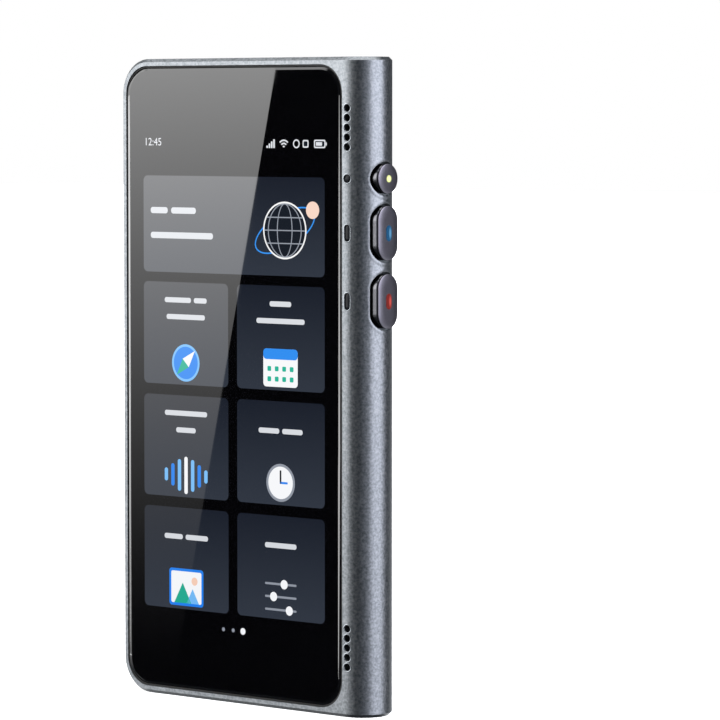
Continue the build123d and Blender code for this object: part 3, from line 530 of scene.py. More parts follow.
COATED_LENS = PolishedGlass("coated_lens", "#0E1F18")
FLASH = InnerPart("frosted_silicone", "#C9CBD2", "#DADCE2", Cell.PLAIN, 0.5, 0.0, 0.3)
SWITCH_NYLON = Moulded("switch_nylon", "#141414", "#202020")
STEEL = InnerPart("tin_plated_steel", "#B5B6B8", "#9B9CA0", Cell.PLAIN, 0.8, 1.0, 0.32)
BOARD = InnerPart("green_solder_mask", "#123D2A", "#2A6B4C", Cell.BOARD, 1.6, 0.0, 0.35)

NODE_FINISHES: dict[str, Finish] = {
    "housing_shell": ALUMINIUM,
    "back_panel": ALUMINIUM,
    "side_band": BAND_NYLON,
    "top_band": BAND_NYLON,
    "bottom_band": BAND_NYLON,
    "cover_glass": GLASS,
    "glass_gasket": GASKET,
    "glass_adhesive": Moulded("acrylic_foam_tape", "#0C0C0C", "#151515", 0.3, 0.004, (0.8, 0.9)),
    "display_panel": InnerPart("display_stack", "#050608", "#0A0B0E", Cell.PLAIN, 2.0, 0.0, 0.2),
    "mid_frame": InnerPart("die_cast_magnesium", "#9A9C9F", "#7F8184", Cell.PLAIN, 0.6, 1.0, 0.5),
    "frame_screws": STEEL,
    "board_screws": STEEL,
    "main_board": BOARD,
    "bottom_board": BOARD,
    "key_board": BOARD,
    "indicator_board": BOARD,
    "shield_cans": STEEL,
    "battery": InnerPart("laminated_foil", "#23252A", "#2F3238", Cell.PLAIN, 3.0, 0.0, 0.3),
    "battery_adhesive": InnerPart("stretch_tape", "#D8D8D2", "#C6C6C0", Cell.PLAIN, 1.0, 0.0, 0.7),
    "board_link": InnerPart("polyimide_film", "#8A4A16", "#A8602A", Cell.PLAIN, 0.7, 0.0, 0.35),
    "volume_board": InnerPart("polyimide_film", "#8A4A16", "#A8602A", Cell.PLAIN, 0.7, 0.0, 0.35),
    "vibration_motor": STEEL,
    "microphones": STEEL,
    "camera_ring": RING_METAL,
    "top_speaker": Moulded("speaker_shell", "#101112", "#1B1C1D"),
    "bottom_speaker": Moulded("speaker_shell", "#101112", "#1B1C1D"),
    "round_lens": LENS_RESIN,
    "upper_lens": LENS_RESIN,
    "lower_lens": LENS_RESIN,
    "key_switches": SWITCH_NYLON,
    "volume_switches": SWITCH_NYLON,
    "rocker_pin": STEEL,
    "volume_rocker": KEY_NYLON,
    "sim_tray": Moulded("tray_nylon", "#1F2122", "#2B2D2F", 0.10, 0.004, (0.38, 0.5)),
    "sim_card": InnerPart("card_plastic", "#E4E4DE", "#D4D4CC", Cell.PLAIN, 1.4, 0.0, 0.45),
    "sim_socket": STEEL,
    "usb_shell": STEEL,
    "usb_tongue": Moulded("tongue_polymer", "#0D0D0E", "#171718"),
    "camera_module": Moulded("lens_barrel", "#0B0B0C", "#151517"),
    "camera_glass": CAMERA_GLASS,
    "flash_lens": FLASH,
    "flash_led": InnerPart("phosphor_cap", "#D9C65A", "#E8D87A", Cell.PLAIN, 0.4, 0.0, 0.5),
    "top_speaker_mesh": WovenCloth("acoustic_cloth"),
    "bottom_speaker_mesh": WovenCloth("acoustic_cloth"),
}


def dress(node: str, finish: Finish) -> None:
    """Gives a CAD node its finish, in its object's material slots.

    Args:
        node: The node's name.
        finish: What its surface is.
    """
    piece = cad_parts[node]
    piece.data.materials.clear()
    piece.data.materials.append(finish.build())


# ------------------------------------------------------------------ shapes
def span(node: str) -> tuple[Vector, Vector]:
    """A node's lowest and highest corners, in millimetres."""
    low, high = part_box(node)
    return low / MM, high / MM


def arc(x: float, z: float, rx: float, rz: float, start: float = 0.0, turn: float = 360.0,
        tilt: float = 0.0, steps: int = 40) -> Outline:
    """Points along an ellipse.

    Args:
        x: Its middle.
        z: Its middle's height.
        rx: Half its width.
        rz: Half its height.
        start: Where it starts, in degrees from +X towards +Z.
        turn: How far it goes on.
        tilt: How far the whole ellipse leans, in degrees.
        steps: How many runs it is made of.

    Returns:
        The points; a full turn doesn't repeat the first.
    """
    count = steps if turn >= 360 else steps + 1
    lean = math.radians(tilt)
    points = []
    for i in range(count):
        angle = math.radians(start + turn * i / steps)
        px, pz = rx * math.cos(angle), rz * math.sin(angle)
        points.append((x + px * math.cos(lean) - pz * math.sin(lean),
                       z + px * math.sin(lean) + pz * math.cos(lean)))
    return points


def rounded(x0: float, x1: float, z0: float, z1: float, radius: float, steps: int = 8) -> Outline:
    """A rectangle with round corners, counter-clockwise from its lower right corner.

    Args:
        x0: Its left side.
        x1: Its right side.
        z0: Its foot.
        z1: Its top.
        radius: The corners' radius.
        steps: Runs in each corner.

    Returns:
        Its outline.
    """
    points: Outline = []
    for x, z, start in ((x1 - radius, z0 + radius, -90), (x1 - radius, z1 - radius, 0),
                        (x0 + radius, z1 - radius, 90), (x0 + radius, z0 + radius, 180)):
        points += arc(x, z, radius, radius, start, 90, 0, steps)
    return points


def pill(x: float, z: float, radius: float, straight: float, steps: int = 18) -> Outline:
    """A round-ended upright slot; straight is half the length between its round ends' middles."""
    return (arc(x, z + straight, radius, radius, 0, 180, 0, steps)
            + arc(x, z - straight, radius, radius, 180, 180, 0, steps))


def skin(name: str, rings: Sequence[Sequence[Vector]], closed: bool, sharp: float = 30.0) -> bpy.types.Mesh:
    """A body whose skin runs over rings of as many points each.

    Args:
        name: The mesh's name.
        rings: Rings in millimetres, from the back to the front.
        closed: Whether the last ring joins the first; otherwise both ends are capped.
        sharp: Edges that turn more degrees than this stay sharp.

    Returns:
        The mesh, in metres.
    """
    mesh = bmesh.new()
    loops = [[mesh.verts.new(point * MM) for point in ring] for ring in rings]
    count = len(loops[0])
    pairs = list(zip(loops, loops[1:] + loops[:1])) if closed else list(zip(loops, loops[1:]))
    for low, high in pairs:
        for i in range(count):
            j = (i + 1) % count
            mesh.faces.new((low[i], low[j], high[j], high[i]))
    if not closed:
        mesh.faces.new(loops[0][::-1])
        mesh.faces.new(loops[-1])
    bmesh.ops.remove_doubles(mesh, verts=mesh.verts, dist=0.0004 * MM)
    bmesh.ops.dissolve_degenerate(mesh, edges=mesh.edges, dist=0.0002 * MM)
    bmesh.ops.recalc_face_normals(mesh, faces=mesh.faces)
    result = bpy.data.meshes.new(name)
    mesh.to_mesh(result)
    mesh.free()
    result.shade_smooth()
    result.set_sharp_from_angle(angle=math.radians(sharp))
    return result


@dataclass
class Stack:
    """A turned or round-ended body, given by its outline at places along its axis.

    Args:
        centre: A point on its axis, in millimetres.
        out: The way it faces, a unit vector.
        across: The way of its width, a unit vector; its length runs up.
    """

    centre: Vector
    out: Vector
    across: Vector

    def ring(self, place: float, radius: float, straight: float = 0.0) -> list[Vector]:
        """The outline at one place.

        Args:
            place: How far out from the centre.
            radius: Half the width.
            straight: Half the length between the round ends' middles.

        Returns:
            Its points.
        """
        middle = self.centre + self.out * place
        return [middle + self.across * x + Vector((0, 0, z)) for x, z in pill(0, 0, radius, straight)]

    @staticmethod
    def crown(top: float, radius: float, corner: float, rise: float, roll: float = 2.0,
              steps: int = 16) -> list[Point]:
        """Rings of a face with a rounded edge and a gently rising middle.

        Args:
            top: The middle's place along the axis.
            radius: Half the width at the edge.
            corner: The edge's radius.
            rise: How far the middle stands before the edge's round.
            roll: 2 for an even dome, more for a flat middle that rolls off near its edge.
            steps: How many rings follow the first.

        Returns:
            Each ring's place and radius, from the edge to the middle.
        """
        rings = []
        for i in range(steps + 1):
            inset = radius * (i / steps) ** 1.8
            short = max(corner - inset, 0)
            drop = rise * (1 - inset / radius) ** roll + corner - math.sqrt(corner ** 2 - short ** 2)
            rings.append((top - drop, max(radius - inset, 0.001)))
        return rings


@dataclass(frozen=True)
class Spine:
    """The slab's full-round metal side, in millimetres in the shared frame."""

    axis_x: float
    axis_y: float
    radius: float

    @classmethod
    def measured(cls) -> "Spine":
        """The spine as the housing's box gives it.

        Returns:
            The spine.
        """
        low, high = span("housing_shell")
        radius = (high.y - low.y) / 2
        return cls(high.x - radius, (low.y + high.y) / 2, radius)

    def front(self, x: float) -> float:
        """The front face's y at one x."""
        over = max(x - self.axis_x, 0)
        return self.axis_y - math.sqrt(self.radius ** 2 - over ** 2)

    def side(self, y: float) -> float:
        """The side's x at one y."""
        return self.axis_x + math.sqrt(self.radius ** 2 - (y - self.axis_y) ** 2)


# a lip's section: how far out from the hole's edge, and how far above the metal
LIP_SECTION: tuple[Point, ...] = ((-0.05, -0.12), (-0.01, 0.005), (0.05, 0.03), (0.13, 0.025), (0.2, -0.02),
                                  (0.1, -0.1))


@dataclass(frozen=True)
class Row:
    """Copies of one shape in a straight row, made by a geometry tree.

    Args:
        name: The piece's name.
        count: How many there are.
        step: From one to the next, in millimetres.
        finish: Their finish.
    """

    name: str
    count: int
    step: Vector
    finish: Finish

    def build(self, shape: bpy.types.Mesh) -> bpy.types.Object:
        """Repeats a shape.

        Args:
            shape: The first copy's mesh, in place.

        Returns:
            An object that holds them all as one mesh.
        """
        tree = bpy.data.node_groups.new(self.name, "GeometryNodeTree")
        for title, kind in (("Shape", "NodeSocketGeometry"), ("Count", "NodeSocketInt"),
                            ("Step", "NodeSocketVector")):
            tree.interface.new_socket(title, in_out="INPUT", socket_type=kind)
        tree.interface.new_socket("Row", in_out="OUTPUT", socket_type="NodeSocketGeometry")
        given = add_node(tree, "NodeGroupInput").outputs
        line = add_node(tree, "GeometryNodeMeshLine", {"Count": given["Count"], "Offset": given["Step"]},
                        mode="OFFSET")
        placed = add_node(tree, "GeometryNodeInstanceOnPoints", {
            "Points": line.outputs["Mesh"], "Instance": given["Shape"]})
        real = add_node(tree, "GeometryNodeRealizeInstances", {0: placed.outputs[0]})
        dressed = add_node(tree, "GeometryNodeSetMaterial", {
            "Geometry": real.outputs[0], "Material": self.finish.build()})
        add_node(tree, "NodeGroupOutput", {0: dressed.outputs[0]})
        return grown(self.name, shape, tree, {"Count": self.count, "Step": tuple(self.step * MM)})


# ------------------------------------------------------------------ the screen's picture
@dataclass
class FlatArt:
    """Thin lit plates on the glass, gathered into one mesh.

    Args:
        name: The piece's name.
        face: The glass face's place across the slab, in millimetres.
        step: How far one layer stands before the last, in millimetres.
    """

    name: str
    face: float
    step: float = 0.004
    inks: list[Finish] = field(default_factory=list)
    _mesh: bmesh.types.BMesh = field(default_factory=bmesh.new)

    def _ink(self, ink: Finish) -> int:
        """The ink's place in the material list.

        Args:
            ink: A finish of the picture.

        Returns:
            Its index.
        """
        if ink not in self.inks:
            self.inks.append(ink)
        return self.inks.index(ink)

    def _plate(self, rings: list[list[bmesh.types.BMVert]], ink: int) -> None:
        """Closes two matching loops, back then front, into a plate's side wall.

        Args:
            rings: The back loop and the front loop.
            ink: The finish's index.
        """
        back, front = rings
        for i in range(len(back)):
            j = (i + 1) % len(back)
            face = self._mesh.faces.new((front[i], back[i], back[j], front[j]))
            face.material_index = ink

    def fill(self, outline: Outline, layer: int, ink: Finish) -> None:
        """Adds a filled shape.

        Args:
            outline: Its corners in millimetres, counter-clockwise as seen from the front.
            layer: 1 lies on the glass, and each next layer before the last.
            ink: Its finish.
        """
        index = self._ink(ink)
        depths = (self.face, self.face - layer * self.step)
        rings = [[self._mesh.verts.new((x * MM, y * MM, z * MM)) for x, z in outline] for y in depths]
        self._mesh.faces.new(rings[1]).material_index = index
        self._mesh.faces.new(list(reversed(rings[0]))).material_index = index
        self._plate(rings, index)

    def band(self, outer: Outline, inner: Outline, layer: int, ink: Finish) -> None:
        """Adds a closed band between two outlines with as many points each.

        Args:
            outer: The outer outline, counter-clockwise.
            inner: The inner one.
            layer: As for a filled shape.
            ink: Its finish.
        """
        index = self._ink(ink)
        depths = (self.face, self.face - layer * self.step)
        loops = [[[self._mesh.verts.new((x * MM, y * MM, z * MM)) for x, z in outline] for y in depths]
                 for outline in (outer, inner)]
        self._plate(loops[0], index)
        self._plate([loops[1][1], loops[1][0]], index)
        for i in range(len(outer)):
            j = (i + 1) % len(outer)
            for depth, order in ((1, 1), (0, -1)):
                corners = (loops[0][depth][i], loops[0][depth][j], loops[1][depth][j], loops[1][depth][i])
                self._mesh.faces.new(corners[::order]).material_index = index

    def finish(self) -> bpy.types.Object:
        """Turns what was gathered into an object.

        Returns:
            The object.
        """
        mesh = bpy.data.meshes.new(self.name)
        bmesh.ops.triangulate(self._mesh, faces=[f for f in self._mesh.faces if len(f.verts) > 4])
        self._mesh.to_mesh(mesh)
        self._mesh.free()
        for ink in self.inks:
            mesh.materials.append(ink.build())
        return link_object(self.name, mesh)


def stroke(x: float, z: float, rx: float, rz: float, width: float, start: float, turn: float,
           tilt: float = 0.0) -> Outline:
    """An open arc drawn with a width, as one outline.

    Args:
        x: The ellipse's middle.
        z: Its middle's height.
        rx: Half its width.
        rz: Half its height.
        width: The line's width, inwards.
        start: Where the arc starts, in degrees.
        turn: How far it goes on.
        tilt: How far the whole ellipse leans.

    Returns:
        The outline.
    """
    outside = arc(x, z, rx, rz, start, turn, tilt)
    inside = arc(x, z, rx - width, rz - width, start, turn, tilt)
    return outside + inside[::-1]


@dataclass
class Screen:
    """The lit picture: a wide tile, six small ones, a status line and page dots. Millimetres."""

    left: float = 5.68              # tiles, from the slab's left edge
    right: float = 50.09
    gutter: float = 2.18
    corner: float = 1.0
    wide: Point = (78.7, 96.5)      # heights of each row of tiles
    rows: tuple[Point, ...] = ((58.0, 76.9), (37.2, 56.0), (16.4, 35.2))
    word_height: float = 0.95
    line_step: float = 3.1
    dots: tuple[float, ...] = (25.5, 27.9, 30.3)
    dots_z: float = 13.45
    status_z: float = 102.5
    time_x: float = 5.9             # the time's left end

    def __post_init__(self) -> None:
        """Starts the art on the glass face."""
        self.slab_left = span("housing_shell")[0].x
        face = span("cover_glass")[0].y
        self.art = FlatArt("screen_picture", face)
        self.white = LitInk("lit_white", "#F2F4F8", "#FFFFFF", 10, 105, 1.0)
        self.label = LitInk("lit_label", "#D2D5DB", "#E0E3E8", 10, 105, 1.0)
        self.grey = LitInk("lit_grey", "#8D939F", "#9BA1AC", 10, 105, 1.0)
        self.blue = LitInk("lit_blue", "#1F7BEA", "#3E9BF5", 10, 105, 1.0)
        self.sky = LitInk("lit_sky", "#6FB6F2", "#8CCBFF", 10, 105, 1.0)
        self.teal = LitInk("lit_teal", "#1FA58C", "#35C2A4", 10, 105, 1.0)
        self.peach = LitInk("lit_peach", "#F3C9B3", "#FBDCCB", 10, 105, 1.0)
        self.navy = LitInk("lit_navy", "#14181F", "#1A2029", 10, 105, 1.0)

    def _x(self, x: float) -> float:
        """A place across the slab, from its left edge, in the shared frame."""
        return self.slab_left + x

    def _tile(self, x0: float, x1: float, span: Point) -> None:
        """One tile, a little lighter at its foot; it mirrors more than the bare glass round it."""
        ink = LitInk(f"lit_tile_{round(span[0])}", "#313742", "#1B202B", span[0], span[1], 1.0, 1.74)
        self.art.fill(rounded(self._x(x0), self._x(x1), *span, self.corner), 1, ink)

    def _words(self, x: float, z: float, lengths: Sequence[float], centred: bool,
               height: float | None = None) -> None:
        """One line of a label: a bar for each word.

        Args:
            x: The line's middle, or its left end.
            z: Its middle height.
            lengths: Each word's length.
            centred: Whether x is the middle.
            height: The bars' height, where it isn't the usual one.
        """
        tall = height or self.word_height
        gap = tall * 0.75
        total = sum(lengths) + gap * (len(lengths) - 1)
        at = self._x(x) - (total / 2 if centred else 0)
        for length in lengths:
            self.art.fill(rounded(at, at + length, z - tall / 2, z + tall / 2, tall * 0.45), 2, self.label)
            at += length + gap

    def _disc(self, x: float, z: float, radius: float, layer: int, ink: Finish) -> None:
        """A filled circle."""
        self.art.fill(arc(self._x(x), z, radius, radius), layer, ink)

    def _ring(self, x: float, z: float, radius: Point, width: float, layer: int, ink: Finish,
              tilt: float = 0.0) -> None:
        """A closed elliptical ring."""
        self.art.band(arc(self._x(x), z, *radius, tilt=tilt),
                      arc(self._x(x), z, radius[0] - width, radius[1] - width, tilt=tilt), layer, ink)

    def _box(self, x0: float, x1: float, z0: float, z1: float, radius: float, layer: int,
             ink: Finish) -> None:
        """A rounded rectangle."""
        self.art.fill(rounded(self._x(x0), self._x(x1), z0, z1, radius), layer, ink)

    def globe(self, x: float, z: float, radius: float) -> None:
        """A globe with meridians, and an orbit with a small moon.

        Args:
            x: Its middle, from the slab's left edge.
            z: Its middle's height.
            radius: Its radius.
        """
        self._ring(x, z, (radius * 1.5, radius * 0.62), 0.28, 2, self.blue, 24)
        self._disc(x, z, radius, 3, self.white)
        self._disc(x, z, radius - 0.3, 4, self.navy)
        for share in (0.36, 0.78):
            self._ring(x, z, (radius * share, radius - 0.3), 0.2, 5, self.grey)
        for lift in (-0.45, 0.0, 0.45):
            half = math.sqrt(1 - lift ** 2) * (radius - 0.3)
            self._box(x - half, x + half, z + lift * radius - 0.1, z + lift * radius + 0.1, 0.09, 5,
                      self.grey)
        self._disc(x + radius * 1.28, z + radius * 0.72, radius * 0.3, 6, self.peach)

    def compass(self, x: float, foot: float, size: float) -> None:
        """A round compass with a two-coloured needle.

        Args:
            x: The icon's middle, from the slab's left edge.
            foot: The height of its foot.
            size: Its height.
        """
        z = foot + size / 2
        self._disc(x, z, size / 2, 2, self.sky)
        self._disc(x, z, size / 2 - 0.45, 3, self.blue)
        tip, side = size * 0.33, size * 0.11
        for ink, sign in ((self.white, 1), (self.teal, -1)):
            points = [(-side, -side), (side, side), (tip * sign, -tip * sign)]
            turn = [(self._x(x) + px, z - pz) for px, pz in points]
            area = sum(a[0] * b[1] - b[0] * a[1] for a, b in zip(turn, turn[1:] + turn[:1]))
            self.art.fill(turn if area > 0 else turn[::-1], 4, ink)

    def calendar(self, x: float, foot: float, size: float) -> None:
        """A sheet with a blue head and a grid of teal days.

        Args:
            x: The icon's middle, from the slab's left edge.
            foot: The height of its foot.
            size: Its height.
        """
        half = size * 0.6
        self._box(x - half, x + half, foot, foot + size, 0.7, 2, self.white)
        self._box(x - half, x + half, foot + size * 0.72, foot + size, 0.7, 3, self.blue)
        for column in range(4):
            for row in range(2):
                px = x - half + size * (0.21 + 0.26 * column)
                self._box(px - 0.45, px + 0.45, foot + size * (0.14 + 0.27 * row),
                          foot + size * (0.14 + 0.27 * row) + 0.9, 0.2, 3, self.teal)

    def equaliser(self, x: float, foot: float, size: float) -> None:
        """Seven upright bars, the middle one white.

        Args:
            x: The icon's middle, from the slab's left edge.
            foot: The height of its foot.
            size: Its height.
        """
        for i, share in enumerate((0.35, 0.6, 0.85, 1.0, 0.85, 0.6, 0.35)):
            px = x + (i - 3) * size * 0.24
            ink = self.white if i == 3 else (self.blue if i % 2 else self.sky)
            self._box(px - 0.42, px + 0.42, foot + size * (1 - share) / 2,
                      foot + size * (1 + share) / 2, 0.4, 2, ink)

    def clock(self, x: float, foot: float, size: float) -> None:
        """A pale dial with two hands.

        Args:
            x: The icon's middle, from the slab's left edge.
            foot: The height of its foot.
            size: Its height.
        """
        z = foot + size / 2
        self._disc(x, z, size / 2, 2, self.grey)
        self._disc(x, z, size / 2 - 0.5, 3, self.white)
        self._box(x - 0.2, x + 0.2, z - 0.2, z + size * 0.33, 0.15, 4, self.navy)
        self._box(x - 0.2, x + size * 0.25, z - 0.2, z + 0.2, 0.15, 4, self.blue)

    def landscape(self, x: float, foot: float, size: float) -> None:
        """A framed picture of two hills and a sun.

        Args:
            x: The icon's middle, from the slab's left edge.
            foot: The height of its foot.
            size: Its height.
        """
        half = size * 0.62
        self._box(x - half, x + half, foot, foot + size, 0.6, 2, self.blue)
        self._box(x - half + 0.5, x + half - 0.5, foot + 0.5, foot + size - 0.5, 0.35, 3, self.white)
        base = foot + 0.5
        for left, width, tall, ink in ((-0.44, 0.62, 0.55, self.teal), (0.0, 0.46, 0.4, self.sky)):
            x0 = self._x(x) + left * size
            peak = (x0 + width * size / 2, base + tall * size)
            self.art.fill([(x0, base), (x0 + width * size, base), peak], 4, ink)
        self._disc(x + size * 0.3, foot + size * 0.68, size * 0.11, 4, self.peach)

    def sliders(self, x: float, foot: float, size: float) -> None:
        """Three level lines, each with a knob.

        Args:
            x: The icon's middle, from the slab's left edge.
            foot: The height of its foot.
            size: Its height.
        """
        for i, place in enumerate((0.3, -0.25, 0.12)):
            z = foot + size * (0.16 + 0.34 * i)
            self._box(x - size * 0.55, x + size * 0.55, z - 0.2, z + 0.2, 0.18, 2, self.grey)
            self._disc(x + size * place, z, 0.85, 3, self.white)

    def status_line(self) -> None:
        """Small level, signal, sync and battery marks at the right, and the time at the left."""
        z = self.status_z
        for i in range(4):
            self._box(36.2 + 0.55 * i, 36.6 + 0.55 * i, z - 0.8, z - 0.35 + 0.38 * i, 0.12, 2, self.label)
        for radius in (1.5, 0.95, 0.4):
            self.art.fill(stroke(self._x(40.4), z - 0.75, radius, radius, 0.28, 45, 90), 2, self.label)
        self._ring(43.4, z, (0.8, 0.8), 0.25, 2, self.label)
        self._box(44.9, 46.3, z - 0.7, z + 0.7, 0.3, 2, self.label)
        self._box(45.15, 46.05, z - 0.45, z + 0.45, 0.2, 3, self.navy)
        self._box(47.6, 50.3, z - 0.75, z + 0.75, 0.3, 2, self.label)
        self._box(47.85, 50.05, z - 0.5, z + 0.5, 0.2, 3, self.navy)
        self._box(48.05, 49.5, z - 0.32, z + 0.32, 0.1, 4, self.label)
        self._box(50.35, 50.6, z - 0.3, z + 0.3, 0.1, 2, self.label)

    def time(self) -> bpy.types.Object:
        """The time in plain digits, made a mesh in place.

        Returns:
            The digits.
        """
        curve = bpy.data.curves.new("clock_digits", "FONT")
        curve.body = "12:45"
        curve.size = 2.0 * MM
        curve.extrude = 0.003 * MM
        letters = bpy.data.objects.new("clock_digits", curve)
        bpy.context.scene.collection.objects.link(letters)
        bpy.context.view_layer.update()
        mesh = bpy.data.meshes.new_from_object(letters.evaluated_get(
            bpy.context.evaluated_depsgraph_get()))
        bpy.data.objects.remove(letters)
        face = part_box("cover_glass")[0].y
        for vertex in mesh.vertices:
            x, z, rise = vertex.co
            vertex.co = (x + self._x(self.time_x) * MM, face - rise, z + (self.status_z - 0.45) * MM)
        mesh.materials.clear()
        mesh.materials.append(self.label.build())
        return link_object("clock_digits", mesh)

    def build(self) -> None:
        """Makes the picture and its parts."""
        middle = (self.left + self.right) / 2
        columns = ((self.left, middle - self.gutter / 2), (middle + self.gutter / 2, self.right))
        self._tile(self.left, self.right, self.wide)
        self._words(7.5, 90.1, (4.3, 6.2), False, 1.15)
        self._words(7.5, 85.5, (15.6,), False, 1.15)
        self.globe(40.6, 86.9, 5.2)
        labels = (((6.6, 3.2), (9.6,)), ((5.2,), (11.6,)), ((10.6,), (4.9,)), ((5.0, 4.9),),
                  ((4.6, 5.6),), ((7.6,),))
        icons: tuple[Callable[[float, float, float], None], ...] = (
            self.compass, self.calendar, self.equaliser, self.clock, self.landscape, self.sliders)
        for i, (lines, icon) in enumerate(zip(labels, icons)):
            x0, x1 = columns[i % 2]
            span = self.rows[i // 2]
            self._tile(x0, x1, span)
            first = span[1] - (3.3 if len(lines) == 2 else 5.4)
            for line, words in enumerate(lines):
                self._words((x0 + x1) / 2, first - line * self.line_step, words, True)
            icon((x0 + x1) / 2, span[0] + 0.6, 6.9)
        self.status_line()
        for x, radius, ink in zip(self.dots, (0.36, 0.36, 0.62), (self.grey, self.grey, self.white)):
            self._disc(x, self.dots_z, radius, 2, ink)
        settle(self.art.finish(), "body", "display_stack")
        settle(self.time(), "body", "display_stack")


# ------------------------------------------------------------------ glass
@dataclass
class CoverGlass:
    """The screen's glass with its polished bevel. Millimetres."""

    corner: float = 4.8
    bevel: float = 0.55         # width on the face
    depth: float = 0.3          # at the top, the bottom and the spine
    left_depth: float = 0.12    # shallower along the left edge
    guard: float = 0.4
    steps: int = 20

    def build(self) -> None:
        """Makes the glass and lets it stand for the node."""
        low, high = span("cover_glass")
        outer, inner, edge = [], [], []
        for x, z, start in ((high.x, low.z, -90), (high.x, high.z, 0), (low.x, high.z, 90),
                            (low.x, low.z, 180)):
            inward = Vector((1 if x == low.x else -1, 1 if z == low.z else -1)) * self.corner
            # one more point on the straight at each end of an arc keeps the long bevels flat
            for step in (-1, *range(self.steps + 1), self.steps + 1):
                heading = math.radians(start + 90 * min(max(step, 0), self.steps) / self.steps)
                out = Vector((math.cos(heading), math.sin(heading)))
                along = Vector((-out.y, out.x)) * (self.guard * ((step > self.steps) - (step < 0)))
                middle = Vector((x, z)) + inward + along
                lean = max(-out.x, 0) ** 3
                depth = self.depth - (self.depth - self.left_depth) * lean
                outer.append(middle + out * self.corner)
                inner.append(middle + out * (self.corner - self.bevel))
                edge.append(Vector((outer[-1].x, low.y + depth, outer[-1].y)))
        rings = [[Vector((x, high.y, z)) for x, z in outer], edge, [Vector((x, low.y, z)) for x, z in inner]]
        piece = link_object("polished_cover_glass", skin("polished_cover_glass", rings, False, 6))
        piece.data.materials.append(GLASS.build())
        settle(piece, "body", "cover_glass_slot", "cover_glass")


# ------------------------------------------------------------------ keys
@dataclass(frozen=True)
class KeyLight:
    """How a key's window is lit: its colours and where its core lies."""

    core: str
    rim: str
    shift: float            # mm towards the slab's back
    reach: Point            # mm


@dataclass
class Keys:
    """The three keys on the spine: crowned satin caps, polished skirts and lit windows. Millimetres."""

    corner: float = 0.06
    rise: float = 0.18
    roll: float = 4.0
    groove: Point = (0.35, 0.3)         # width and depth
    skirt_wall: float = 0.8
    stem_radius: float = 1.1
    neck: Point = (0.5, 0.8)            # length and radius
    gap: float = 0.45                   # recess round each key
    # the recess's raised edge: how far out from it, and how far above the metal
    lip_section: tuple[Point, ...] = ((-0.02, -0.15), (-0.01, -0.01), (0.04, 0.003), (0.24, 0.024),
                                      (0.34, 0.026), (0.5, 0.018), (0.8, -0.006), (0.35, -0.08))
    lights: dict[str, KeyLight] = field(default_factory=lambda: {
        "power": KeyLight("#E9F0B4", "#7F8650", 0.0, (0.7, 0.7)),
        "blue": KeyLight("#5F90AE", "#0F3049", 0.34, (0.42, 1.25)),
        "red": KeyLight("#BC5049", "#4A1411", 0.34, (0.42, 1.25)),
    })

    def _cap(self, name: str) -> None:
        """One key's cap, from its stem to its crowned face.

        Args:
            name: The key's name.
        """
        low, high = span(f"{name}_key_cap")
        radius = (high.y - low.y) / 2
        straight = (high.z - low.z) / 2 - radius
        body = Stack(Vector((0, (low.y + high.y) / 2, (low.z + high.z) / 2)), Vector((1, 0, 0)),
                     Vector((0, 1, 0)))
        base, top = (corner.x for corner in span(f"{name}_key_skirt"))
        under, core = top + self.groove[0], radius - self.skirt_wall
        rings = [body.ring(x, r, s) for x, r, s in (
            (low.x, self.neck[1], 0), (low.x + self.neck[0], self.neck[1], 0),
            (low.x + self.neck[0], self.stem_radius, 0), (base, self.stem_radius, 0),
            (base, core, straight), (top, core, straight), (top, radius - self.groove[1], straight),
            (under, radius - self.groove[1], straight), (under, radius, straight))]
        rings += [body.ring(x, r, straight)
                  for x, r in Stack.crown(high.x, radius, self.corner, self.rise, self.roll)]
        piece = link_object(f"{name}_key_crown", skin(f"{name}_key_crown", rings, False))
        piece.data.materials.append(KEY_FACE.build())
        settle(piece, f"{name}_key", "key_satin", f"{name}_key_cap")

    def _lip(self, name: str) -> None:
        """The raised edge of one key's recess, which follows the spine's curve.

        Args:
            name: The key's name.
        """
        spine = Spine.measured()
        low, high = span(f"{name}_key_cap")
        radius = (high.y - low.y) / 2
        straight = (high.z - low.z) / 2 - radius
        y0, z0 = (low.y + high.y) / 2, (low.z + high.z) / 2
        rings = [[Vector((spine.side(y) + lift, y, z))
                  for y, z in pill(y0, z0, radius + self.gap + out, straight, 40)]
                 for out, lift in self.lip_section]
        piece = link_object(f"{name}_recess_lip", skin(f"{name}_recess_lip", rings, True, 40))
        piece.data.materials.append(ALUMINIUM.build())
        settle(piece, "body", "anodised_aluminium")

    def build(self) -> None:
        """Makes each key's cap and recess lip, and dresses its other nodes."""
        for name, light in self.lights.items():
            low, high = span(f"{name}_key_light")
            centre = (high.x, (low.y + high.y) / 2 + light.shift, (low.z + high.z) / 2)
            dress(f"{name}_key_cap", KEY_FACE)
            dress(f"{name}_key_skirt", KEY_SIDE)
            dress(f"{name}_key_light",
                  LightPipe(f"{name}_light_pipe", light.core, light.rim, centre, light.reach))
            dress(f"{name}_key_clip", STEEL)
            dress(f"{name}_switch_plunger", SWITCH_NYLON)
            self._cap(name)
            self._lip(name)


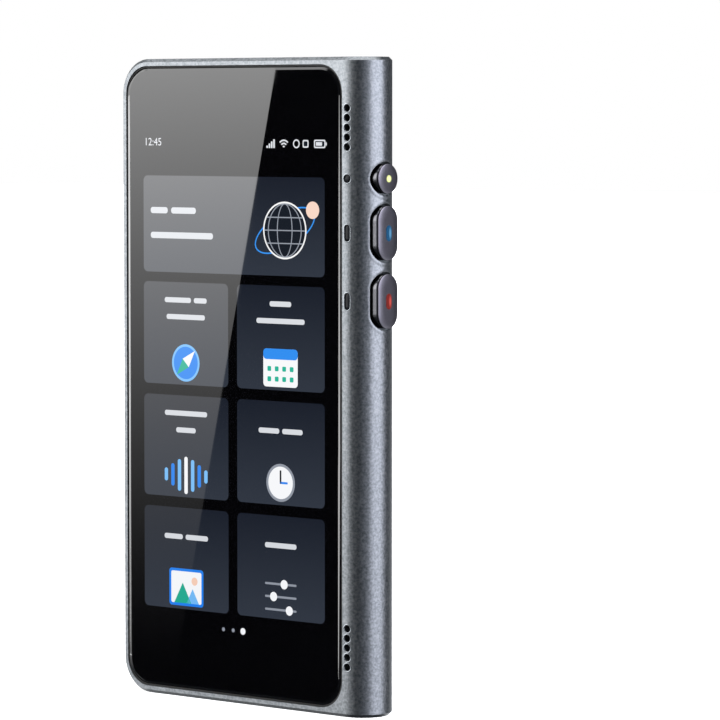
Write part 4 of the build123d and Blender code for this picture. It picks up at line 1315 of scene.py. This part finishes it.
# ------------------------------------------------------------------ the strip's holes and lenses
@dataclass
class StripDetails:
    """Lips round the sound holes and lenses, and the lenses' domed faces. Millimetres."""

    hole_radius: float = 0.72       # sound hole with its chamfer
    pitch: float = 1.73
    count: int = 5
    strip_in: float = 0.6           # holes from the spine's axis
    dome: float = 0.13
    recess: float = 0.03            # lens to its hole
    lenses: tuple[str, ...] = ("round_lens", "upper_lens", "lower_lens")

    def _lip(self, x: float, z: float, radius: float, straight: float, name: str) -> bpy.types.Mesh:
        """A thin bright ring on the strip's curve.

        Args:
            x: The hole's middle.
            z: Its middle's height.
            radius: Its radius.
            straight: Half the length between its round ends' middles.
            name: The mesh's name.

        Returns:
            The ring's mesh.
        """
        spine = Spine.measured()
        rings = [[Vector((px, spine.front(px) - lift, pz))
                  for px, pz in pill(x, z, radius + out, straight, 10)] for out, lift in LIP_SECTION]
        return skin(name, rings, True, 40)

    def build(self) -> None:
        """Makes the lips and domes."""
        x = Spine.measured().axis_x + self.strip_in
        for end in ("top", "bottom"):
            low, high = span(f"{end}_speaker_mesh")
            first = (low.z + high.z) / 2 - self.pitch * (self.count - 1) / 2
            row = Row(f"{end}_sound_lips", self.count, Vector((0, 0, self.pitch)), CUT_EDGE)
            settle(row.build(self._lip(x, first, self.hole_radius, 0, row.name)), "body",
                   "anodised_aluminium")
        for node in self.lenses:
            low, high = span(node)
            radius = (high.x - low.x) / 2
            straight = (high.z - low.z) / 2 - radius
            middle = Vector(((low.x + high.x) / 2, 0, (low.z + high.z) / 2))
            body = Stack(middle, Vector((0, -1, 0)), Vector((1, 0, 0)))
            rings = [body.ring(-high.y, radius, straight), body.ring(-low.y - self.dome, radius, straight)]
            rings += [body.ring(place, r, straight)
                      for place, r in Stack.crown(-low.y + self.dome / 2, radius, 0.06, self.dome)]
            dome = link_object(f"domed_{node}", skin(f"domed_{node}", rings, False))
            dome.data.materials.append(LENS_RESIN.build())
            settle(dome, "body", "smoked_lens", node)
            lip = link_object(f"{node}_lip", self._lip(middle.x, middle.z, radius + self.recess, straight,
                                                       f"{node}_lip"))
            lip.data.materials.append(CUT_EDGE.build())
            settle(lip, "body", "anodised_aluminium")


# ------------------------------------------------------------------ camera and flash
@dataclass
class RearCamera:
    """Printed cover glass with a clear middle, a stepped baffle, a domed lens and the flash. Millimetres."""

    clear: float = 2.35             # radius of the glass's clear middle
    chamfer: float = 0.05           # on the glass's outer edge
    print_step: float = 0.08        # the printed ring's slope down to the clear middle
    air: float = 0.12               # from the glass's face to the baffle
    step: Point = (0.3, 0.1)        # each baffle step's width and depth
    steps: int = 3
    lens_radius: float = 1.3
    lens_rise: float = 0.18
    ridge: Point = (0.22, 0.07)     # the flash lens's ridges: pitch and depth
    ridges: int = 6

    def _stack(self, node: str) -> tuple[Stack, Vector, Vector]:
        """A body on a node's axis, facing back, and the node's corners.

        Args:
            node: The node's name.

        Returns:
            The body, the lowest corner and the highest.
        """
        low, high = span(node)
        middle = Vector(((low.x + high.x) / 2, 0, (low.z + high.z) / 2))
        return Stack(middle, Vector((0, 1, 0)), Vector((1, 0, 0))), low, high

    def _finish(self, name: str, mesh: bpy.types.Mesh, finish: Finish, slot: str, *nodes: str) -> None:
        """Dresses one piece and settles it.

        Args:
            name: The piece's name.
            mesh: Its mesh.
            finish: Its surface.
            slot: The record's material slot.
            nodes: CAD nodes that it stands for.
        """
        piece = link_object(name, mesh)
        piece.data.materials.append(finish.build())
        settle(piece, "body", slot, *nodes)

    def build(self) -> None:
        """Makes the glass, the baffle, the lens and the flash."""
        body, low, high = self._stack("camera_glass")
        radius = (high.x - low.x) / 2
        glass = [body.ring(y, r) for y, r in (
            (low.y, radius), (high.y - self.chamfer, radius), (high.y, radius - self.chamfer),
            (high.y, self.clear + self.print_step), (high.y - self.print_step, self.clear),
            (low.y, self.clear))]
        self._finish("printed_camera_glass", skin("printed_camera_glass", glass, True), CAMERA_GLASS,
                     "camera_cover", "camera_glass")
        floor, places = high.y - self.air, [(low.y, self.clear - 0.02)]
        for i in range(self.steps):
            edge = self.clear - 0.02 - i * self.step[0]
            places += [(floor - i * self.step[1], edge),
                       (floor - i * self.step[1], edge - self.step[0] + 0.03)]
        places.append((low.y, self.lens_radius))
        self._finish("camera_baffle", skin("camera_baffle", [body.ring(y, r) for y, r in places], True),
                     BAFFLE, "component_black")
        top = floor - (self.steps - 1) * self.step[1]
        lens = [body.ring(low.y, self.lens_radius - 0.01), body.ring(top - 0.1, self.lens_radius - 0.01)]
        lens += [body.ring(y, r) for y, r in
                 Stack.crown(top + self.lens_rise / 2, self.lens_radius - 0.01, 0.02, self.lens_rise)]
        self._finish("camera_lens", skin("camera_lens", lens, False), COATED_LENS, "camera_cover")

        body, low, high = self._stack("flash_lens")
        radius = (high.x - low.x) / 2
        edge = high.y - 0.1
        places = [(low.y, radius), (edge, radius), (high.y, radius - 0.1)]
        inner = radius - 0.3
        for i in range(self.ridges):
            r = inner - i * self.ridge[0]
            places += [(high.y, r), (high.y - self.ridge[1], r - 0.03)]
        places.append((high.y - 0.01, 0.05))
        self._finish("flash_fresnel", skin("flash_fresnel", [body.ring(y, r) for y, r in places], False),
                     FLASH, "flash_diffuser", "flash_lens")


# ------------------------------------------------------------------ USB socket
@dataclass
class UsbContacts:
    """Gold pads on both faces of the socket's tongue. Millimetres."""

    count: int = 12
    pitch: float = 0.5
    width: float = 0.26
    length: float = 2.7
    thickness: float = 0.02
    inset: float = 0.35             # from the tongue's tip

    def build(self) -> None:
        """Makes one row on each face."""
        low, high = span("usb_tongue")
        first = (low.x + high.x) / 2 - self.pitch * (self.count - 1) / 2
        for name, y in (("front_contacts", low.y - self.thickness), ("rear_contacts", high.y)):
            z0 = low.z + self.inset
            pad = rounded(first - self.width / 2, first + self.width / 2, z0, z0 + self.length,
                          self.width * 0.4, 3)
            rings = [[Vector((x, depth, z)) for x, z in pad] for depth in (y, y + self.thickness)]
            row = Row(name, self.count, Vector((self.pitch, 0, 0)), GOLD)
            settle(row.build(skin(name, rings, False)), "body", "socket_steel")


# ------------------------------------------------------------------ studio
@dataclass(frozen=True)
class Softbox:
    """A soft panel of light far away, placed by angles in degrees.

    Args:
        azimuth: From the slab's front towards its spine.
        elevation: Above the horizon.
        half: Half its width and height.
        strength: Its brightness.
        tint: Its colour.
        edge: How soft its edges are.
        fades: Whether it is dimmer below the horizon.
    """

    azimuth: float
    elevation: float
    half: tuple[float, float]
    strength: float
    tint: str = "#FFFFFF"
    edge: float = 0.10
    fades: bool = True

    def add_to(self, tree: bpy.types.NodeTree, way: bpy.types.NodeSocket) -> bpy.types.NodeSocket:
        """Adds the panel's nodes.

        Args:
            tree: The world's tree.
            way: The direction looked in.

        Returns:
            The panel's light in that direction.
        """
        az, el = math.radians(self.azimuth), math.radians(self.elevation)
        centre = Vector((math.sin(az) * math.cos(el), -math.cos(az) * math.cos(el), math.sin(el)))
        side = Vector((math.cos(az), math.sin(az), 0))
        rise = side.cross(-centre)
        ahead, across, up = (
            add_node(tree, "ShaderNodeVectorMath", {0: way, 1: tuple(axis)},
                     operation="DOT_PRODUCT").outputs["Value"] for axis in (centre, side, rise))
        least = 0.02            # keeps the division below away from zero
        front = add_node(tree, "ShaderNodeMath", {0: ahead, 1: least}, operation="MAXIMUM").outputs[0]
        light = add_node(tree, "ShaderNodeMath", {0: ahead, 1: least},
                         operation="GREATER_THAN").outputs[0]
        for value, half in zip((across, up), self.half):
            edge = math.tan(math.radians(half))
            share = add_node(tree, "ShaderNodeMath", {0: value, 1: front}, operation="DIVIDE").outputs[0]
            size = add_node(tree, "ShaderNodeMath", {0: share}, operation="ABSOLUTE").outputs[0]
            mask = add_node(tree, "ShaderNodeMapRange", {
                "Value": size, "From Min": edge + self.edge, "From Max": edge - self.edge},
                interpolation_type="SMOOTHSTEP").outputs[0]
            light = add_node(tree, "ShaderNodeMath", {0: light, 1: mask}, operation="MULTIPLY").outputs[0]
        colour = tuple(c * self.strength for c in linear(self.tint)[:3])
        return add_node(tree, "ShaderNodeVectorMath", {0: colour, "Scale": light},
                        operation="SCALE").outputs[0]


class Glow(Enum):
    """How bright a panel near the slab is."""

    FADING = "bright above, dark below"
    EVEN = "even"
    NONE = "black"


@dataclass(frozen=True)
class Panel:
    """A panel near the slab, placed by where its mirror image shows in the camera's frame.

    Args:
        name: The panel's name.
        corners: Its mirror image's corners, in pixels, in order round it.
        azimuth: Which way the mirroring face looks, from the slab's front towards its spine.
        elevation: How far that face looks up. Both are in degrees.
        glow: How its light is spread.
        strength: Its light where it is brightest.
    """

    name: str
    corners: tuple[Point, ...]
    azimuth: float = 0.0
    elevation: float = 0.0
    glow: Glow = Glow.EVEN
    strength: float = 1.0


@dataclass
class Studio:
    """Floor, soft lights and the camera."""

    pale: str = "#FFFFFF"
    dim: tuple[float, float, float] = (0.056, 0.061, 0.067)     # light between the softboxes
    low_share: float = 0.22         # what is left of a fading softbox well below the horizon
    fade: Point = (-0.22, 0.04)     # sines of the elevations where the fade ends and starts
    softboxes: tuple[Softbox, ...] = (
        Softbox(-62, 8, (36, 24), 3.7, "#FFFFFF", 0.12),
        Softbox(-58, 44, (16, 14), 3.4, "#FFFFFF", 0.10),
        Softbox(-16, 8, (11, 26), 0.9, "#FFFFFF", 0.20),
        Softbox(56, 12, (18, 40), 0.38, "#EAF0FF", 0.20),
        Softbox(97.5, 12, (27.5, 40), 3.7, "#F3F4FF", 0.05),
        Softbox(134, -32, (13, 17), 1.35, "#FAFCFF", 0.08, False),
        Softbox(194, -22, (26, 17), 0.6, "#FAFCFF", 0.10, False),
        Softbox(114, 44, (13, 14), 7.0, "#FFFFFF", 0.06),
        Softbox(237, -28, (32, 17), 1.0, "#FFFFFF", 0.10, False),
        Softbox(-30, 89, (28, 28), 2.0),
    )
    lens: float = 200.28            # mm on a 36 mm sensor
    sensor: float = 36.0
    place: tuple[float, float, float] = (487.66, -545.98, 107.46)   # mm
    heading: float = 40.369         # degrees from +Y towards -X
    pitch: float = 3.485            # degrees below the horizon
    frame_px: float = 720.0
    panel_depth: float = 1.65       # m from the camera to a panel's mirror image
    floor_reach: float = 4.0        # m
    floor_glow: float = 0.75        # keeps the floor pale under soft light
    window_fade: Point = (655.0, 70.0)      # rows where the window light is dark and where bright
    window_least: float = 0.05      # its share of light where it is dark
    window_power: float = 2.2       # how fast it falls off
    window_sides: Point = (105.0, 352.0)    # the left side of the window light, the right of the flag
    edge_top: Point = (277.8, 56.0)         # the window light's slanted edge, in pixels
    edge_bottom: Point = (170.0, 702.0)
    left_glint: tuple[Point, ...] = (
        (128.4, 82), (127.2, 115), (127.4, 400), (126.9, 640), (127.9, 674),
        (129.3, 674), (130.2, 640), (130.5, 400), (130.0, 115), (129.0, 82))
    right_glint: tuple[Point, ...] = (
        (339.0, 90), (338.6, 200), (338.4, 450), (335.9, 660), (337.2, 694),
        (338.0, 694), (338.9, 660), (340.1, 450), (339.9, 200), (339.4, 90))
    top_glint: tuple[Point, ...] = ((130, 60), (130, 76), (274, 76), (276, 60))

    def _axes(self) -> tuple[Vector, Vector, Vector]:
        """The camera's right, up and forward.

        Returns:
            Three unit vectors.
        """
        turn, down = math.radians(self.heading), math.radians(self.pitch)
        forward = Vector((-math.sin(turn) * math.cos(down), math.cos(turn) * math.cos(down),
                          -math.sin(down)))
        right = forward.cross(Vector((0, 0, 1))).normalized()
        return right, right.cross(forward), forward

    def camera(self) -> None:
        """Makes the camera that the slab is seen with."""
        data = bpy.data.cameras.new("camera")
        data.lens = self.lens
        data.sensor_width = self.sensor
        data.clip_start = 0.05
        data.clip_end = 50
        camera = bpy.data.objects.new("camera", data)
        bpy.context.scene.collection.objects.link(camera)
        camera.location = Vector(self.place) * MM
        camera.rotation_euler = self._axes()[2].to_track_quat("-Z", "Y").to_euler()
        bpy.context.scene.camera = camera

    def floor(self) -> None:
        """A plain pale floor that the slab stands on."""
        mesh = bpy.data.meshes.new("floor")
        reach = self.floor_reach
        mesh.from_pydata([(-reach, -reach, 0), (reach, -reach, 0), (reach, reach, 0), (-reach, reach, 0)],
                         [], [(0, 1, 2, 3)])
        floor = link_object("floor", mesh)
        material = bpy.data.materials.new("pale_floor")
        material.use_nodes = True
        shader = material.node_tree.nodes["Principled BSDF"]
        shader.inputs["Base Color"].default_value = linear(self.pale)
        shader.inputs["Roughness"].default_value = 0.9
        shader.inputs["Specular IOR Level"].default_value = 0.0
        shader.inputs["Emission Color"].default_value = linear(self.pale)
        shader.inputs["Emission Strength"].default_value = self.floor_glow
        mesh.materials.append(material)
        floor.visible_glossy = False
        floor.visible_shadow = False

    def sky(self) -> None:
        """Soft panels all round for what the lights fall on, and plain pale for the camera."""
        world = bpy.data.worlds.new("studio")
        world.use_nodes = True
        tree = world.node_tree
        tree.nodes.clear()
        way = add_node(tree, "ShaderNodeTexCoord").outputs["Generated"]
        height = add_node(tree, "ShaderNodeSeparateXYZ", {0: way}).outputs["Z"]
        share = add_node(tree, "ShaderNodeMapRange", {
            "Value": height, "From Min": self.fade[0], "From Max": self.fade[1], "To Min": self.low_share},
            interpolation_type="SMOOTHSTEP").outputs[0]
        total = add_node(tree, "ShaderNodeCombineXYZ", dict(enumerate(self.dim))).outputs[0]
        for softbox in self.softboxes:
            light = softbox.add_to(tree, way)
            if softbox.fades:
                light = add_node(tree, "ShaderNodeVectorMath", {0: light, "Scale": share},
                                 operation="SCALE").outputs[0]
            total = add_node(tree, "ShaderNodeVectorMath", {0: total, 1: light},
                             operation="ADD").outputs[0]
        lights = add_node(tree, "ShaderNodeBackground", {"Color": total})
        plain = add_node(tree, "ShaderNodeBackground", {"Color": linear(self.pale), "Strength": 1.0})
        seen = add_node(tree, "ShaderNodeLightPath").outputs["Is Camera Ray"]
        mix = add_node(tree, "ShaderNodeMixShader", {0: seen, 1: lights.outputs[0], 2: plain.outputs[0]})
        add_node(tree, "ShaderNodeOutputWorld", {0: mix.outputs[0]})
        bpy.context.scene.world = world

    def _image(self, pixel: Point, panel: Panel) -> Vector:
        """A panel corner's own place, from the pixel where its mirror image shows.

        Args:
            pixel: Where the corner's mirror image shows.
            panel: The panel.

        Returns:
            The corner's place, in metres.
        """
        right, up, forward = self._axes()
        focal = self.lens / self.sensor * self.frame_px
        across, down = ((value - self.frame_px / 2) / focal for value in pixel)
        eye = Vector(self.place) * MM
        ray = forward + right * across - up * down
        az, el = math.radians(panel.azimuth), math.radians(panel.elevation)
        normal = Vector((math.sin(az) * math.cos(el), -math.cos(az) * math.cos(el), math.sin(el)))
        low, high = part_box("cover_glass")
        middle, bevel = (low + high) / 2, CoverGlass.bevel * MM
        face = Vector((high.x - bevel if panel.azimuth > 0 else low.x + bevel if panel.azimuth < 0
                       else middle.x, low.y, high.z - bevel if panel.elevation > 0 else middle.z))
        seen = eye + ray * self.panel_depth
        return seen - 2 * (seen - face).dot(normal) * normal

    def _add_panel(self, panel: Panel) -> None:
        """Makes one panel, which only glossy faces see.

        Args:
            panel: The panel.
        """
        corners = [self._image(pixel, panel) for pixel in panel.corners]
        mesh = bpy.data.meshes.new(panel.name)
        mesh.from_pydata([tuple(c) for c in corners], [], [tuple(range(len(corners)))])
        piece = link_object(panel.name, mesh)
        material = bpy.data.materials.new(panel.name)
        material.use_nodes = True
        tree = material.node_tree
        tree.nodes.clear()
        light = add_node(tree, "ShaderNodeEmission", {"Strength": panel.strength})
        if panel.glow is Glow.NONE:
            light.inputs["Strength"].default_value = 0.0
        if panel.glow is Glow.FADING:
            place = add_node(tree, "ShaderNodeTexCoord").outputs["Object"]
            height = add_node(tree, "ShaderNodeSeparateXYZ", {0: place}).outputs["Z"]
            dark, bright = (self._image((panel.corners[0][0], row), panel).z for row in self.window_fade)
            share = add_node(tree, "ShaderNodeMapRange", {
                "Value": height, "From Min": dark, "From Max": bright,
                "To Min": self.window_least}).outputs[0]
            glow = add_node(tree, "ShaderNodeMath", {0: share, 1: self.window_power},
                            operation="POWER").outputs[0]
            power = add_node(tree, "ShaderNodeMath", {0: glow, 1: panel.strength},
                             operation="MULTIPLY").outputs[0]
            tree.links.new(power, light.inputs["Strength"])
        add_node(tree, "ShaderNodeOutputMaterial", {0: light.outputs[0]})
        mesh.materials.append(material)
        piece.visible_camera = False
        piece.visible_diffuse = False
        piece.visible_shadow = False
        piece.visible_transmission = False

    def panels(self) -> None:
        """A window light whose slanted edge the glass mirrors, a black flag beside it, and thin glints."""
        top, bottom = self.edge_top, self.edge_bottom
        left, right = self.window_sides
        glass = CoverGlass()
        steep, shallow = (math.degrees(math.atan2(depth, glass.bevel))
                          for depth in (glass.depth, glass.left_depth))
        for panel in (
                Panel("window_light", ((left, top[1]), (left, bottom[1]), bottom, top),
                      glow=Glow.FADING, strength=5.1),
                Panel("black_flag", (top, bottom, (right, bottom[1] + 12), (right, top[1])), glow=Glow.NONE),
                Panel("left_glint", self.left_glint, -shallow, 0, strength=10.0),
                Panel("right_glint", self.right_glint, steep, 0, strength=10.0),
                Panel("top_glint", self.top_glint, 0, steep, strength=4.3)):
            self._add_panel(panel)

    def build(self) -> None:
        """Sets the whole studio."""
        bpy.context.scene.view_settings.view_transform = "Standard"
        self.camera()
        self.floor()
        self.sky()
        self.panels()
        LOG.info("studio set")


def main() -> None:
    """Builds the looks in order."""
    logging.basicConfig(level=logging.INFO, format="%(name)s: %(message)s")
    Studio().build()
    for node, finish in NODE_FINISHES.items():
        dress(node, finish)
    for assembly in (CoverGlass(), Screen(), Keys(), StripDetails(), RearCamera(), UsbContacts()):
        assembly.build()
    bare = [name for name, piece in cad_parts.items()
            if not piece.data.materials or not piece.data.materials[0].name.endswith("_finish")]
    LOG.info("nodes left bare: %s", bare)


if __name__ == "__main__":
    main()
